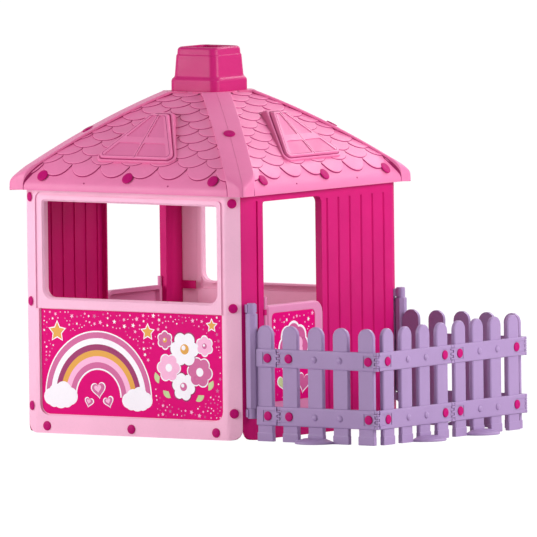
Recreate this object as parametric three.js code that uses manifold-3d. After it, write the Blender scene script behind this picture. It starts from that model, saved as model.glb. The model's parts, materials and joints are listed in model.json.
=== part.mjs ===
// Plastic garden playhouse with a hinged picket fence. Millimetres, Z up, front of the house towards -Y.
// Every function below builds one kind of piece about the centre of the house on the floor; the last
// step moves the whole group so that its origin is the middle of its own footprint.
import * as THREE from "three";
import { mergeVertices } from "three/addons/utils/BufferGeometryUtils.js";
import Module from "manifold-3d";

const wasm = await Module();
wasm.setup();

// Clearances
const GAP = 0.3; // air between two pieces that rest on each other
const SHANK_PLAY = 0.4; // air round the shank of a plug
const PIVOT_PLAY = 0.5; // air round a pin or a post that turns
const OPEN_PLAY = 2.2; // extra air at the one fence hinge that is left open

// House walls: a square of four shells that meet on 45 degree corners
const WALL = 497; // house centre to the outer face of a wall
const BEVEL = 26; // depth of the corner bevel
const BEVEL_W = 53; // its width, along the wall
const CORNER = WALL - BEVEL; // house centre to the corner edge, both ways
const FLAT = CORNER - BEVEL_W; // half width of a wall's flat face, between its bevels
const WALL_TOP = 870; // height of the walls
const DEPTH = 28; // depth of the rims behind a wall face
const SKIN = 5; // thickness of a window wall
const RIB_SKIN = 10; // thickness of a ribbed wall, grooves included
const FOOT_R = 42; // rounding of the two bottom corners of a wall

// Window walls
const FRAME_X = FLAT - 16; // outer edge of the window frame, inside its groove
const FRAME_W = 22; // its width
const WIN_X = FRAME_X - FRAME_W; // half width of the window
const LEDGE_Z = 448; // underside of the window ledge
const LEDGE_H = 38;
const WIN_Z0 = LEDGE_Z + LEDGE_H;
const WIN_Z1 = WALL_TOP - 39;
const WIN_R = 34;
const PANEL_X = FLAT - 14; // half width of the recessed panel under the ledge
const PANEL_Z0 = 65;
const PANEL_R = 38;
const PANEL_IN = 10; // how far that panel lies behind the face
const GROOVE_D = 5;

// Doorway walls
const DOOR_X0 = -370; // doorway, measured along the wall from its middle
const DOOR_X1 = -12;
const SILL_Z = 50;
const DOOR_Z1 = WALL_TOP - 24;
const RIB_AT = [21, 91, 160, 230, 299, 368]; // grooves between the ribs
const RIB_Z0 = 62;
const RIB_Z1 = DOOR_Z1 - 10;

// Half doors
const LEAF_X0 = DOOR_X0 + 15; // leaf, along the wall
const LEAF_X1 = DOOR_X1 - 5;
const LEAF_Z0 = 76;
const LEAF_Z1 = 474;
const LEAF_T = 24;
const LEAF_OUT = 6; // how far the leaf stands proud of the wall
const LEAF_R = 42; // rounding of the free upper corner
const PIN_X = (DOOR_X0 + LEAF_X0) / 2; // hinge axis, along the wall and in from its face
const PIN_IN = 2;
const PIN_R = 4;
const BARREL_R = 7;
const PIN_TOP = LEAF_Z1 + 32;
const BRACKET_Z = [97, 441]; // underside of the two hinge rings
const BRACKET_H = 20;
const STICKER_X0 = LEAF_X0 + 25; // print on the leaf
const STICKER_X1 = LEAF_X1 - 52;
const STICKER_Z0 = LEAF_Z0 + 54;
const STICKER_Z1 = LEAF_Z1 - 28;
const PRINT_T = 0.8; // thickness of a print

// Plugs
const PLUG_R = 17;
const PLUG_H = 5;
const SHANK_R = 6;
const SHANK_L = 11;
const ROOF_PLUG_R = 22;
const PLUG_SIDES = 10;
const BOSS_R = 20;
const BOSS_H = 2.5;
const PLUG_ROWS = [96, 470.5, WALL_TOP - 26]; // heights of the plugs on the corner bevels
const BASE_PLUG_X = FLAT - 45;
const BASE_PLUG_Z = 26;
const LUG_REACH = 60; // how far a side wall's lug laps behind a window wall
const LUG_H = 29;
const LUG_T = 6;

// Roof: four mitred panels
const EAVE_OUT = 23; // how far the eave stands out beyond the walls
const EAVE = WALL + EAVE_OUT; // house centre to the eave
const EAVE_SKIN = 9;
const EAVE_RIM = 5; // thickness of the rim that rests on the walls
const RIM_IN = 6; // how far that rim reaches in past the rims of the walls
const ROOF_Z0 = WALL_TOP + GAP;
// Eave's outer and inner curve, in from its outer face and up from its foot; the slope starts at the last
const EAVE_ROLL = [[0, 8.7], [4, 24.7], [13, 40.7], [25, 54.2], [40, 65.7]];
const EAVE_INNER = [[EAVE_SKIN, 7.7], [12.5, 21.7], [21, 35.2], [31, 46.7]];
const [SLOPE_IN, SLOPE_UP] = EAVE_ROLL[4];
const SLOPE_H0 = EAVE - SLOPE_IN; // where the straight slope starts
const SLOPE_Z0 = ROOF_Z0 + SLOPE_UP;
const RISE = 0.7262; // rise of the roof per mm in plan
const CROWN = 106; // house centre to the top edge of a roof panel
const CROWN_IN = 84; // inner edge of the ring that carries the chimney
const CROWN_Z = SLOPE_Z0 + (SLOPE_H0 - CROWN) * RISE;
const ROOF_T = 8;
const EAVE_R = [9, 34]; // rounding of the eave's corners, at its lower edge and where the slope starts
const MITRE = 0.2; // half the gap along a hip
const HIP_W = 65; // half width of the smooth band along a hip
const BAND_T = 5;
const SHINGLE_W = 127;
const SHINGLE_PITCH = 42.2;
const SHINGLE_DROP = 44; // depth of a scallop
const SHINGLE_T = 7;
const SHINGLE_ROWS = 11;
const SHINGLE_V0 = -13; // first row's tips, up the slope from its start
const SHINGLE_X0 = [-13, 22]; // a corner between two scallops of the first row, window and doorway sides
const EAVE_PLUG_X = 375;
const EAVE_PLUG_IN = 20; // eave plugs, in from the eave's face and up from its foot
const EAVE_PLUG_UP = 48.7;
const EAVE_PLUG_RISE = 8 / 9; // how far they look up, per mm outward
const HIP_PLUG_H = 293;
const HIP_PLUG_LIFT = 3;

// Skylights: blunt triangles that stand on the roof slope. Half width at the foot and at the peak,
// and where those two lie up the slope, for the outline on the roof and for the glazed face
const SKY_BASE = { x0: 174, x1: 12, v0: 46, v1: 330, r: 24 };
const SKY_FACE = { x0: 170, x1: 38, v0: 42, v1: 268, r: 20 };
const SKY_N = [38, 68]; // height of the face over the slope, at its foot and at its peak
const SKY_STEP = 6; // how far the frame stands in from the lip under it
const SKY_LIP = 0.64; // height of that lip, as a part of the whole
const SKY_PANES = 13; // edge of the face to the panes
const SKY_BARS = [7, 120, 146]; // half width of the upright bar, and the two edges of the cross bar

// Chimney: half width, corner radius and height of each ring, outside and then inside
const CHIMNEY_Z0 = CROWN_Z + GAP;
const CHIMNEY_OUT = [
  [104, 37, 0], [104, 37, 41], [101, 36.5, 48], [96, 36, 53], [94.5, 36, 57],
  [90, 34, 129], [88.5, 33, 132], [86, 33, 150], [82, 31.5, 157], [77, 30.5, 161],
];
const CHIMNEY_IN = [[71, 29, 161], [72, 29, 152], [84, 32, 60], [93, 32, 40], [96, 33, 0]];

// Fence
const POST_OUT = 8; // post axis, out from the doorway wall; the two posts mirror each other in Y
const POST_IN = 13; // and in from the house's corner edge
const POST_X = WALL + POST_OUT;
const POST_Y = CORNER - POST_IN;
const POST_R = 16; // narrow ends
const POST_BODY_R = 21; // octagonal middle of the post
const POST_Z = [79, 117, 453, 490];
const PICKET_PITCH = 110;
const PICKET_FIRST = 55; // post axis to the first picket
const PICKET_LAST = 42; // last picket beside the house to the run that faces the doorway
const FACE_FIRST = 71; // corner hinge to the first picket of that run
const PICKETS = 4; // pickets of a panel
const PICKET_W = 67;
const PICKET_FACE = 60; // width of the outer face, inside its bevels
const PICKET_T = 16;
const PICKET_TOP = 413;
const RUN_IN = 8; // runs beside the house, in from their posts
const RUN_Y = POST_Y - RUN_IN; // middle plane of the two runs beside the house
const FIRST_X = POST_X + PICKET_FIRST + PICKET_PITCH; // first picket of the panel beside the house
const RUN_X = FIRST_X + (PICKETS - 1) * PICKET_PITCH + PICKET_LAST; // run that faces the doorway
const RAIL_OUT = 13; // rail's outer face, from the picket's middle plane
const RAIL_T = 11;
const RAILS = [[57, 125], [264, 330]];
const RAIL_MIDDLES = RAILS.map(([a, b]) => (a + b) / 2);
const AXIS_IN = 7; // hinge axis, in from the rail's outer face
const KNUCKLE_R = 7;
const KNUCKLES = 3;
const KNUCKLE_H = 13.6;
const KNUCKLE_GAP = 0.6;
const KNUCKLE_STACK = KNUCKLES * (KNUCKLE_H + KNUCKLE_GAP) - KNUCKLE_GAP;
const HINGE_PIN_R = 3;
const RAIL_STOP = 9; // rail end to hinge axis
const POCKET_H = 20; // half height of the sunk square round a hinge plug
const POCKET_D = 1.5;
const PLUG_REACH = 46; // hinge axis to plug, straight joints
const STUD_R = 12;
const PAD_R = 76; // half-round foot
const PAD_H = 18;
const WEB_TOP = PICKET_TOP - 28; // top of the web between the post and the first picket
const SPLIT_X = FIRST_X - 49; // hinge between the end piece and the first panel
const TURN_X = RUN_X + RAIL_OUT - AXIS_IN; // corner hinges
const TURN_Y = RUN_Y + RAIL_OUT - AXIS_IN;
const CLIP_T = 4;
const CLIP_H = 28;
const CLIP_Z = [84, 457];
const STRIP_W = 22; // strip that joins a post's two clips

// Colours
const WALL_PINK = 0xf6a6cd;
const MAGENTA = 0xdd1180;
const ROOF_PINK = 0xee84b9;
const CHIMNEY_PINK = 0xc9367f;
const PLUG_MAGENTA = 0xa5006a;
const LILAC = 0xab8fc4;
const PRINT_PINK = 0xe0007c;

const group = new THREE.Group();

function add(name, part, colour) {
  const found = part.getMesh();
  const all = new Float32Array(found.vertProperties);
  const geometry = new THREE.BufferGeometry();
  geometry.setAttribute("position", new THREE.BufferAttribute(all, 3));
  geometry.setIndex(new THREE.BufferAttribute(new Uint32Array(found.triVerts), 1));
  geometry.computeVertexNormals();
  const material = new THREE.MeshStandardMaterial({ color: colour, roughness: 0.45, metalness: 0 });
  const mesh = new THREE.Mesh(geometry, material);
  mesh.name = name;
  group.add(mesh);
}

// A closed solid from any closed three.js geometry
function solid(geometry) {
  const plain = new THREE.BufferGeometry();
  plain.setAttribute("position", geometry.getAttribute("position"));
  if (geometry.index) plain.setIndex(geometry.index);
  const welded = mergeVertices(plain, 1e-4);
  return new wasm.Manifold(
    new wasm.Mesh({
      numProp: 3,
      vertProperties: new Float32Array(welded.getAttribute("position").array),
      triVerts: new Uint32Array(welded.index.array),
    }),
  );
}

const join = (parts) => parts.reduce((a, b) => a.add(b));

function box(x0, x1, y0, y1, z0, z1) {
  const g = new THREE.BoxGeometry(x1 - x0, y1 - y0, z1 - z0);
  return solid(g.translate((x0 + x1) / 2, (y0 + y1) / 2, (z0 + z1) / 2));
}

function extruded(points, length) {
  const shape = new THREE.Shape(points.map((p) => new THREE.Vector2(p[0], p[1])));
  return new THREE.ExtrudeGeometry(shape, { depth: length, bevelEnabled: false, curveSegments: 1 });
}

// Prisms from an outline seen from above, from the front (x, z) and from the side (y, z)
const prismZ = (points, z0, z1) => solid(extruded(points, z1 - z0).translate(0, 0, z0));
const prismY = (points, y0, y1) => solid(extruded(points, y1 - y0).rotateX(Math.PI / 2).translate(0, y1, 0));
function prismX(points, x0, x1) {
  const turn = new THREE.Matrix4().makeBasis(
    new THREE.Vector3(0, 1, 0), new THREE.Vector3(0, 0, 1), new THREE.Vector3(1, 0, 0),
  );
  return solid(extruded(points, x1 - x0).applyMatrix4(turn).translate(x0, 0, 0));
}

// Upright round bar, its flats square to the axes
function rod(x, y, radius, z0, z1, sides = 8) {
  const g = new THREE.CylinderGeometry(radius, radius, z1 - z0, sides, 1, false, Math.PI / sides);
  return solid(g.rotateX(Math.PI / 2).translate(x, y, (z0 + z1) / 2));
}

// Rectangle with its own radius at each corner: lower left, lower right, upper right, upper left
function rounded(x0, x1, y0, y1, radii, steps = 4) {
  const corners = [[x0, y0, 1, 1, 180], [x1, y0, -1, 1, 270], [x1, y1, -1, -1, 0], [x0, y1, 1, -1, 90]];
  const points = [];
  corners.forEach(([x, y, sx, sy, start], i) => {
    const r = Math.max(radii[i], 0.01);
    const n = r > 3 ? steps : 0;
    for (let k = 0; k <= n; k += 1) {
      const a = ((start + (n ? (90 * k) / n : 45)) * Math.PI) / 180;
      const reach = n ? r : 0;
      points.push(n ? [x + sx * r + reach * Math.cos(a), y + sy * r + reach * Math.sin(a)] : [x, y]);
    }
  });
  return points;
}

// Skin over a row of rings with equal numbers of points; closed says that the last ring meets the first
function loft(rings, closed = false) {
  const n = rings[0].length;
  const flat = rings.flat(2);
  const index = [];
  const last = closed ? rings.length : rings.length - 1;
  for (let i = 0; i < last; i += 1) {
    const a = i * n;
    const b = ((i + 1) % rings.length) * n;
    for (let k = 0; k < n; k += 1) {
      const m = (k + 1) % n;
      index.push(a + k, a + m, b + m, a + k, b + m, b + k);
    }
  }
  if (!closed) {
    const top = (rings.length - 1) * n;
    for (let k = 1; k < n - 1; k += 1) index.push(0, k + 1, k, top, top + k, top + k + 1);
  }
  let volume = 0;
  const v = (i) => new THREE.Vector3(flat[3 * i], flat[3 * i + 1], flat[3 * i + 2]);
  for (let i = 0; i < index.length; i += 3) {
    volume += v(index[i]).dot(v(index[i + 1]).cross(v(index[i + 2])));
  }
  if (volume < 0) for (let i = 0; i < index.length; i += 3) [index[i], index[i + 1]] = [index[i + 1], index[i]];
  const g = new THREE.BufferGeometry();
  g.setAttribute("position", new THREE.BufferAttribute(new Float32Array(flat), 3));
  g.setIndex(index);
  return solid(g);
}

// Turns and moves a solid: a rotation about Z in degrees and then a shift
const placed = (part, degrees, x = 0, y = 0, z = 0) => part.rotate([0, 0, degrees]).translate([x, y, z]);

// Puts a solid built along +Z at a point, so that its +Z follows the given direction
function aimed(part, at, along) {
  const m = new THREE.Matrix4().compose(
    new THREE.Vector3(...at),
    new THREE.Quaternion().setFromUnitVectors(
      new THREE.Vector3(0, 0, 1), new THREE.Vector3(...along).normalize(),
    ),
    new THREE.Vector3(1, 1, 1),
  );
  return part.transform(m.elements);
}

// One plug: domed head on its seat at z = 0, shank below
function plug(radius = PLUG_R) {
  const profile = [
    [0, -SHANK_L], [SHANK_R, -SHANK_L], [SHANK_R, GAP],
    [radius, GAP], [radius - 1.5, PLUG_H * 0.6], [0, PLUG_H],
  ];
  const g = new THREE.LatheGeometry(profile.map((p) => new THREE.Vector2(...p)), PLUG_SIDES);
  return solid(g.rotateX(Math.PI / 2));
}

// Head of a plug that is one piece with what it sits on
function plugHead() {
  const profile = [[0, -1], [PLUG_R, -1], [PLUG_R, GAP], [PLUG_R - 1.5, PLUG_H * 0.6], [0, PLUG_H]];
  const g = new THREE.LatheGeometry(profile.map((p) => new THREE.Vector2(...p)), PLUG_SIDES);
  return solid(g.rotateX(Math.PI / 2));
}

function plugHole() {
  const r = SHANK_R + SHANK_PLAY;
  const g = new THREE.CylinderGeometry(r, r, SHANK_L + 7, PLUG_SIDES);
  return solid(g.rotateX(Math.PI / 2).translate(0, 0, (5 - SHANK_L) / 2));
}

// Room over a roof plug's seat
function plugRoom() {
  const r = ROOF_PLUG_R + 4 * GAP;
  return solid(new THREE.CylinderGeometry(r, r, 20, PLUG_SIDES).rotateX(Math.PI / 2).translate(0, 0, 10));
}

// Seats of the plugs on one window wall: point and outward direction, in the wall's own frame,
// which has x along the wall, y into the house from its outer face and z up
const bevelOut = [BEVEL, CORNER - FLAT];
const bevelLength = Math.hypot(...bevelOut);
const bevelSeat = (side, z, lift) => {
  const n = [(side * bevelOut[0]) / bevelLength, -bevelOut[1] / bevelLength, 0];
  const mid = [side * ((CORNER + FLAT) / 2), BEVEL / 2, z];
  return { at: mid.map((c, i) => c + n[i] * lift), along: n };
};
const bevelSeats = [-1, 1].flatMap((side) => PLUG_ROWS.map((z) => bevelSeat(side, z, BOSS_H)));
const baseSeats = [-1, 0, 1].map((i) => ({ at: [i * BASE_PLUG_X, 0, BASE_PLUG_Z], along: [0, -1, 0] }));

// Outline of a wall seen from above, held back from the 45 degree corner plane
const wallPlan = () => [
  [-CORNER + MITRE, BEVEL], [-FLAT, 0], [FLAT, 0], [CORNER - MITRE, BEVEL],
  [WALL - DEPTH - MITRE, DEPTH], [MITRE + DEPTH - WALL, DEPTH],
];

function wallBlock() {
  const front = rounded(-CORNER, CORNER, 0, WALL_TOP, [FOOT_R, FOOT_R, 0, 0]);
  return prismZ(wallPlan(), 0, WALL_TOP).intersect(prismY(front, -1, DEPTH + 1));
}

// Hollow behind a wall face, as one solid to cut away
function wallHollow(skin) {
  const half = FLAT - 2;
  const back = CORNER - 7;
  const plan = [[-back, DEPTH + 1], [-half, skin], [half, skin], [back, DEPTH + 1]];
  const front = rounded(-CORNER + 8, CORNER - 8, 6, WALL_TOP - 6, [FOOT_R - 6, FOOT_R - 6, 0, 0]);
  return prismZ(plan, 6, WALL_TOP - 6).intersect(prismY(front, -1, DEPTH + 2));
}

function windowWall() {
  const boss = solid(
    new THREE.CylinderGeometry(BOSS_R - 1, BOSS_R, BOSS_H + 3, PLUG_SIDES).rotateX(Math.PI / 2),
  );
  let wall = wallBlock();
  const sunkBoss = boss.translate([0, 0, -(BOSS_H + 3) / 2]);
  for (const seat of bevelSeats) wall = wall.add(aimed(sunkBoss, seat.at, seat.along));
  const rim = prismY(
    rounded(-WIN_X - 7, WIN_X + 7, WIN_Z0 - 7, WIN_Z1 + 7, [WIN_R, WIN_R, 6, 6]), 0, DEPTH + 3,
  );
  const back = prismY(rounded(-PANEL_X - 8, PANEL_X + 8, PANEL_Z0 - 8, LEDGE_Z + 8, [PANEL_R, PANEL_R, 0, 0]),
    0, PANEL_IN + SKIN);
  wall = wall.subtract(wallHollow(SKIN).subtract(rim).subtract(back));
  // groove round the frame, on its sides and its top
  const groove = prismY(rounded(-FLAT + 2, FLAT - 2, LEDGE_Z - 2, WIN_Z1 + 33, [0, 0, 26, 26]), -1, GROOVE_D)
    .subtract(prismY(rounded(-FRAME_X, FRAME_X, LEDGE_Z - 9, WIN_Z1 + 21, [0, 0, 16, 16]), -2, GROOVE_D + 1));
  const behind = rounded(-FLAT + 1, FLAT - 1, LEDGE_Z - 4, WIN_Z1 + 34, [0, 0, 20, 20]);
  const inside = rounded(-FRAME_X + 3, FRAME_X - 3, LEDGE_Z - 9, WIN_Z1 + 18, [0, 0, 16, 16]);
  const grooveBack = prismY(behind, 3, SKIN + 4).subtract(prismY(inside, 2, SKIN + 5));
  wall = wall.add(grooveBack).subtract(groove);
  // window, its bevelled edge, and the recess for the print
  const open = (out) => rounded(-WIN_X - out, WIN_X + out, WIN_Z0 - out, WIN_Z1 + out,
    [WIN_R + out, WIN_R + out, 6 + out, 6 + out]);
  const ring = (out, y) => open(out).map(([x, z]) => [x, y, z]);
  wall = wall.subtract(prismY(open(0), -2, DEPTH + 2)).subtract(loft([ring(8, -1), ring(0, 7)]));
  const recess = rounded(-PANEL_X, PANEL_X, PANEL_Z0, LEDGE_Z, [PANEL_R, PANEL_R, 4, 4]);
  wall = wall.subtract(prismY(recess, -2, PANEL_IN));
  for (const seat of bevelSeats) wall = wall.subtract(aimed(plugHole(), seat.at, seat.along));
  return join([wall, ...baseSeats.map((seat) => aimed(plugHead(), seat.at, seat.along))]);
}

function doorwayWall() {
  const rim = prismY(rounded(DOOR_X0 - 8, DOOR_X1 + 8, SILL_Z - 8, DOOR_Z1 + 8, [0, 0, 24, 6]), 0, DEPTH + 3);
  const hollow = wallHollow(RIB_SKIN).subtract(rim);
  let wall = wallBlock().subtract(hollow);
  for (const x of RIB_AT) {
    // a shallow groove outside and a low ridge inside
    const cut = [[x - 7, -1], [x + 7, -1], [x + 7, 0], [x + 3, GROOVE_D], [x - 3, GROOVE_D], [x - 7, 0]];
    wall = wall.subtract(prismZ(cut, RIB_Z0, RIB_Z1));
    wall = wall.add(box(x - 6, x + 6, RIB_SKIN - 1, RIB_SKIN + 4, RIB_Z0, RIB_Z1));
  }
  wall = wall.subtract(box(-FLAT + 2, -FRAME_X, -1, GROOVE_D, 30, DOOR_Z1 + 4));
  const open = rounded(DOOR_X0, DOOR_X1, SILL_Z, DOOR_Z1, [4, 4, 24, 8]);
  wall = wall.subtract(prismY(open, -2, DEPTH + 2));
  // lugs that lap behind the window walls on either side
  for (const side of [-1, 1]) {
    const a = WALL - DEPTH - GAP;
    const span = [side * (a - LUG_T), side * a].sort((p, q) => p - q);
    for (const z of PLUG_ROWS) {
      const z0 = Math.min(z - LUG_H / 2, WALL_TOP - LUG_H - 7);
      wall = wall.add(box(span[0], span[1], BEVEL - 0.8, DEPTH + LUG_REACH, z0, z0 + LUG_H));
    }
  }
  // rings that carry the door's pin
  for (const z of BRACKET_Z) {
    wall = wall.add(rod(PIN_X, PIN_IN, BARREL_R, z, z + BRACKET_H, 12));
    wall = wall.add(box(DOOR_X0 - 3, PIN_X - 1, PIN_IN - 6, PIN_IN + 6, z, z + BRACKET_H));
  }
  const bore = rod(PIN_X, PIN_IN, PIN_R + PIVOT_PLAY, BRACKET_Z[0] - 1, BRACKET_Z[1] + BRACKET_H + 1, 12);
  return wall.subtract(bore);
}

// Half door in the frame of its wall
function halfDoor() {
  const y0 = -LEAF_OUT;
  const y1 = LEAF_T - LEAF_OUT;
  const front = (inset) => rounded(LEAF_X0 + inset, LEAF_X1 - inset, LEAF_Z0 + inset, LEAF_Z1 - inset,
    [14 - inset, 26 - inset, LEAF_R - inset, 10 - inset]);
  const ring = (inset, y) => front(inset).map(([x, z]) => [x, y, z]);
  let leaf = loft([ring(5, y0), ring(0, y0 + 5), ring(0, y1)]);
  const well = rounded(LEAF_X0 + 14, LEAF_X1 - 14, LEAF_Z0 + 14, LEAF_Z1 - 14, [8, 12, 28, 4]);
  const ribs = [210, 340].map((z) => box(LEAF_X0, LEAF_X1, y0 + 5, y1 - 3, z - 4, z + 4));
  leaf = leaf.subtract(prismY(well, y0 + 7, y1 + 1).subtract(join(ribs)));
  const print = rounded(STICKER_X0 - 2, STICKER_X1 + 2, STICKER_Z0 - 2, STICKER_Z1 + 2, [20, 20, 20, 20], 3);
  leaf = leaf.subtract(prismY(print, y0 - 1, y0 + 1.5));
  // barrels between and above the wall's rings, on one long pin
  const rings = BRACKET_Z.flatMap((z) => [z, z + BRACKET_H]);
  const stops = [LEAF_Z0 + 4, ...rings, PIN_TOP];
  leaf = leaf.add(rod(PIN_X, PIN_IN, PIN_R, stops[0], PIN_TOP - 2, 12));
  for (let i = 0; i < stops.length; i += 2) {
    const z0 = stops[i] + (i ? 1 : 0);
    const z1 = stops[i + 1] - (i < 4 ? 1 : 0);
    leaf = leaf.add(rod(PIN_X, PIN_IN, BARREL_R, z0, z1, 12));
    const webTop = Math.min(z1, LEAF_Z1 - 12);
    leaf = leaf.add(box(PIN_X, LEAF_X0 + 4, PIN_IN - 4, PIN_IN + 4, z0, webTop));
  }
  return leaf;
}

const doorPrint = () => prismY(
  rounded(STICKER_X0, STICKER_X1, STICKER_Z0, STICKER_Z1, [18, 18, 18, 18], 3),
  -LEAF_OUT + 1.5 - GAP - PRINT_T, -LEAF_OUT + 1.5 - GAP,
);

const wallPrint = () => prismY(
  rounded(-PANEL_X + 4, PANEL_X - 4, PANEL_Z0 + 4, LEDGE_Z - 3, [PANEL_R - 4, PANEL_R - 4, 3, 3]),
  PANEL_IN - GAP - PRINT_T, PANEL_IN - GAP,
);

// Slope frame of the front roof panel: x along the eave, y up the slope, z out of it
const tilt = Math.atan(RISE);
const slope = new THREE.Matrix4().makeBasis(
  new THREE.Vector3(1, 0, 0),
  new THREE.Vector3(0, Math.cos(tilt), Math.sin(tilt)),
  new THREE.Vector3(0, -Math.sin(tilt), Math.cos(tilt)),
).setPosition(0, -SLOPE_H0, SLOPE_Z0);
const onSlope = (part) => part.transform(slope.elements);
const slopeLength = (SLOPE_H0 - CROWN) / Math.cos(tilt);
const hipAt = (v) => SLOPE_H0 - v * Math.cos(tilt);

// One row of scallops: a wedge, thick at its tips and sinking under the row above
function shingleRow(row, x0) {
  const v0 = SHINGLE_V0 + row * SHINGLE_PITCH;
  const v1 = Math.min(v0 + SHINGLE_PITCH + SHINGLE_DROP + 4, slopeLength - 4);
  const half = hipAt(v0) - HIP_W;
  const offset = x0 + ((row % 2) * SHINGLE_W) / 2;
  const first = Math.floor((-half - offset) / SHINGLE_W);
  const last = Math.ceil((half - offset) / SHINGLE_W);
  const edge = [];
  for (let i = first; i < last; i += 1) {
    for (let k = 0; k < 4; k += 1) {
      const t = -Math.cos((Math.PI * k) / 4);
      const sag = SHINGLE_DROP * (1 - Math.sqrt(1 - t * t));
      edge.push([offset + (i + (t + 1) / 2) * SHINGLE_W, v0 + sag]);
    }
  }
  const [left, right] = [offset + first * SHINGLE_W, offset + last * SHINGLE_W];
  const g = extruded([...edge, [right, v0 + SHINGLE_DROP], [right, v1], [left, v1]], 1);
  const p = g.getAttribute("position");
  for (let i = 0; i < p.count; i += 1) {
    const top = SHINGLE_T * (1 - (p.getY(i) - v0) / (SHINGLE_PITCH + SHINGLE_DROP + 8));
    p.setZ(i, p.getZ(i) > 0.5 ? top : -2);
  }
  const side = (v) => hipAt(v) - HIP_W + 3;
  const trim = prismZ([
    [-side(v0 - 5), v0 - 5], [side(v0 - 5), v0 - 5], [side(v1 + 5), v1 + 5], [-side(v1 + 5), v1 + 5],
  ], -5, 20);
  return solid(g).intersect(trim);
}

// Smooth band along a hip, running out at its foot
function hipBand(side) {
  const stops = [[-20, 0.2], [12, BAND_T], [slopeLength - 3, BAND_T]];
  return loft(stops.map(([v, top]) => {
    const [x0, x1] = [hipAt(v) - HIP_W, hipAt(v) + 12];
    return [[x0, -3], [x1, -3], [x1, top], [x0, top]].map(([x, n]) => [side * x, v, n]);
  }));
}

// Triangle with blunt rounded corners, as a closed outline; inset draws it in on all sides
function skylightOutline({ x0, x1, v0, v1, r }, inset) {
  const lean = Math.atan2(x0 - x1, v1 - v0);
  const half0 = x0 - inset * (1 + Math.sin(lean));
  const half1 = Math.max(x1 - inset * 0.45, 3);
  const [low, high] = [v0 + inset, v1 - inset * 1.3];
  const bend = Math.max(r - inset * 0.6, 5);
  const outline = [];
  const knee = (x, y, from, to, n) => {
    for (let k = 0; k <= n; k += 1) {
      const a = ((from + ((to - from) * k) / n) * Math.PI) / 180;
      outline.push([x + bend * Math.cos(a), y + bend * Math.sin(a)]);
    }
  };
  const out = (lean * 180) / Math.PI;
  const near = Math.max(half1 - bend * 0.4, 1);
  knee(-half0 + bend * 1.3, low + bend, 180 - out, 270, 3);
  knee(half0 - bend * 1.3, low + bend, 270, 360 + out, 3);
  knee(near, high - bend, out, 90, 2);
  knee(-near, high - bend, 90, 180 - out, 2);
  return outline;
}

// A ring of the skylight between its foot, at 0, and its face, at 1
function skylightRing(part, inset, sink = 0) {
  const foot = skylightOutline(SKY_BASE, inset);
  const rise = (SKY_N[1] - SKY_N[0]) / (SKY_FACE.v1 - SKY_FACE.v0);
  return skylightOutline(SKY_FACE, inset).map(([x, v], i) => {
    const level = SKY_N[0] + (v - SKY_FACE.v0) * rise - sink;
    return [foot[i][0] + (x - foot[i][0]) * part, foot[i][1] + (v - foot[i][1]) * part, level * part];
  });
}

function skylight() {
  const body = loft([
    skylightRing(-0.08, 0), skylightRing(SKY_LIP - 0.1, 0), skylightRing(SKY_LIP, 1),
    skylightRing(SKY_LIP, SKY_STEP), skylightRing(0.93, SKY_STEP), skylightRing(1, SKY_STEP + 3),
  ]);
  // four panes sunk between the bars
  const [bar, cross0, cross1] = SKY_BARS;
  const far = 2 * SKY_BASE.v1;
  const panes = prismZ(skylightOutline(SKY_FACE, SKY_PANES), 0, far)
    .subtract(box(-bar, bar, 0, far, -1, far + 1)).subtract(box(-far, far, cross0, cross1, -1, far + 1));
  const wide = -9;
  const above = loft([skylightRing(1, wide, 3), skylightRing(1, wide, -60)]);
  return body.subtract(panes.intersect(above));
}

// The skylight is a shell, open to the inside of the house
const skylightHollow = () => loft([skylightRing(-0.4, 12), skylightRing(0.2, 12), skylightRing(0.84, 18)]);

// Roof panel over the front wall, with a corner of its first row of scallops at x0
function roofPanel(x0) {
  const drop = ROOF_T;
  const down = ([h, z]) => [h - drop * Math.sin(tilt), z - drop * Math.cos(tilt)];
  const [innerH, innerZ] = down([SLOPE_H0, SLOPE_Z0]);
  const shelf = CROWN_Z - 6;
  const atEave = ([inward, up]) => [EAVE - inward, ROOF_Z0 + up];
  const rimEnd = WALL - DEPTH - RIM_IN;
  const profile = [
    [EAVE, ROOF_Z0], ...EAVE_ROLL.map(atEave), [CROWN, CROWN_Z], [CROWN_IN, CROWN_Z], [CROWN_IN, shelf],
    [innerH - (shelf - innerZ) / RISE, shelf], [innerH, innerZ], ...EAVE_INNER.map(atEave).reverse(),
    atEave([EAVE_SKIN, EAVE_RIM]), [rimEnd, ROOF_Z0 + EAVE_RIM], [rimEnd, ROOF_Z0],
  ];
  let panel = prismX(profile.map(([h, z]) => [-h, z]), -EAVE, EAVE);
  const raised = [hipBand(1), hipBand(-1), skylight()];
  for (let row = 0; row < SHINGLE_ROWS; row += 1) raised.push(shingleRow(row, x0));
  panel = panel.add(onSlope(join(raised))).subtract(onSlope(skylightHollow()));
  const far = 2 * EAVE;
  const above = 2 * CROWN_Z;
  const wedge = prismZ([[0, -MITRE], [-far, -far - MITRE], [far, -far - MITRE]], 0, above);
  const plan = (r, z) => rounded(-EAVE, EAVE, -EAVE, EAVE, [r, r, r, r]).map(([x, y]) => [x, y, z]);
  const [sharp, blunt] = EAVE_R;
  const corners = loft([plan(sharp, 0), plan(sharp, ROOF_Z0), plan(blunt, SLOPE_Z0), plan(blunt, above)]);
  panel = panel.intersect(wedge).intersect(corners);
  for (const seat of [...eaveSeats, ...hipSeats]) {
    panel = panel.subtract(aimed(plugHole(), seat.at, seat.along));
    panel = panel.subtract(aimed(plugRoom(), seat.at, seat.along));
  }
  return panel;
}

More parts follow.
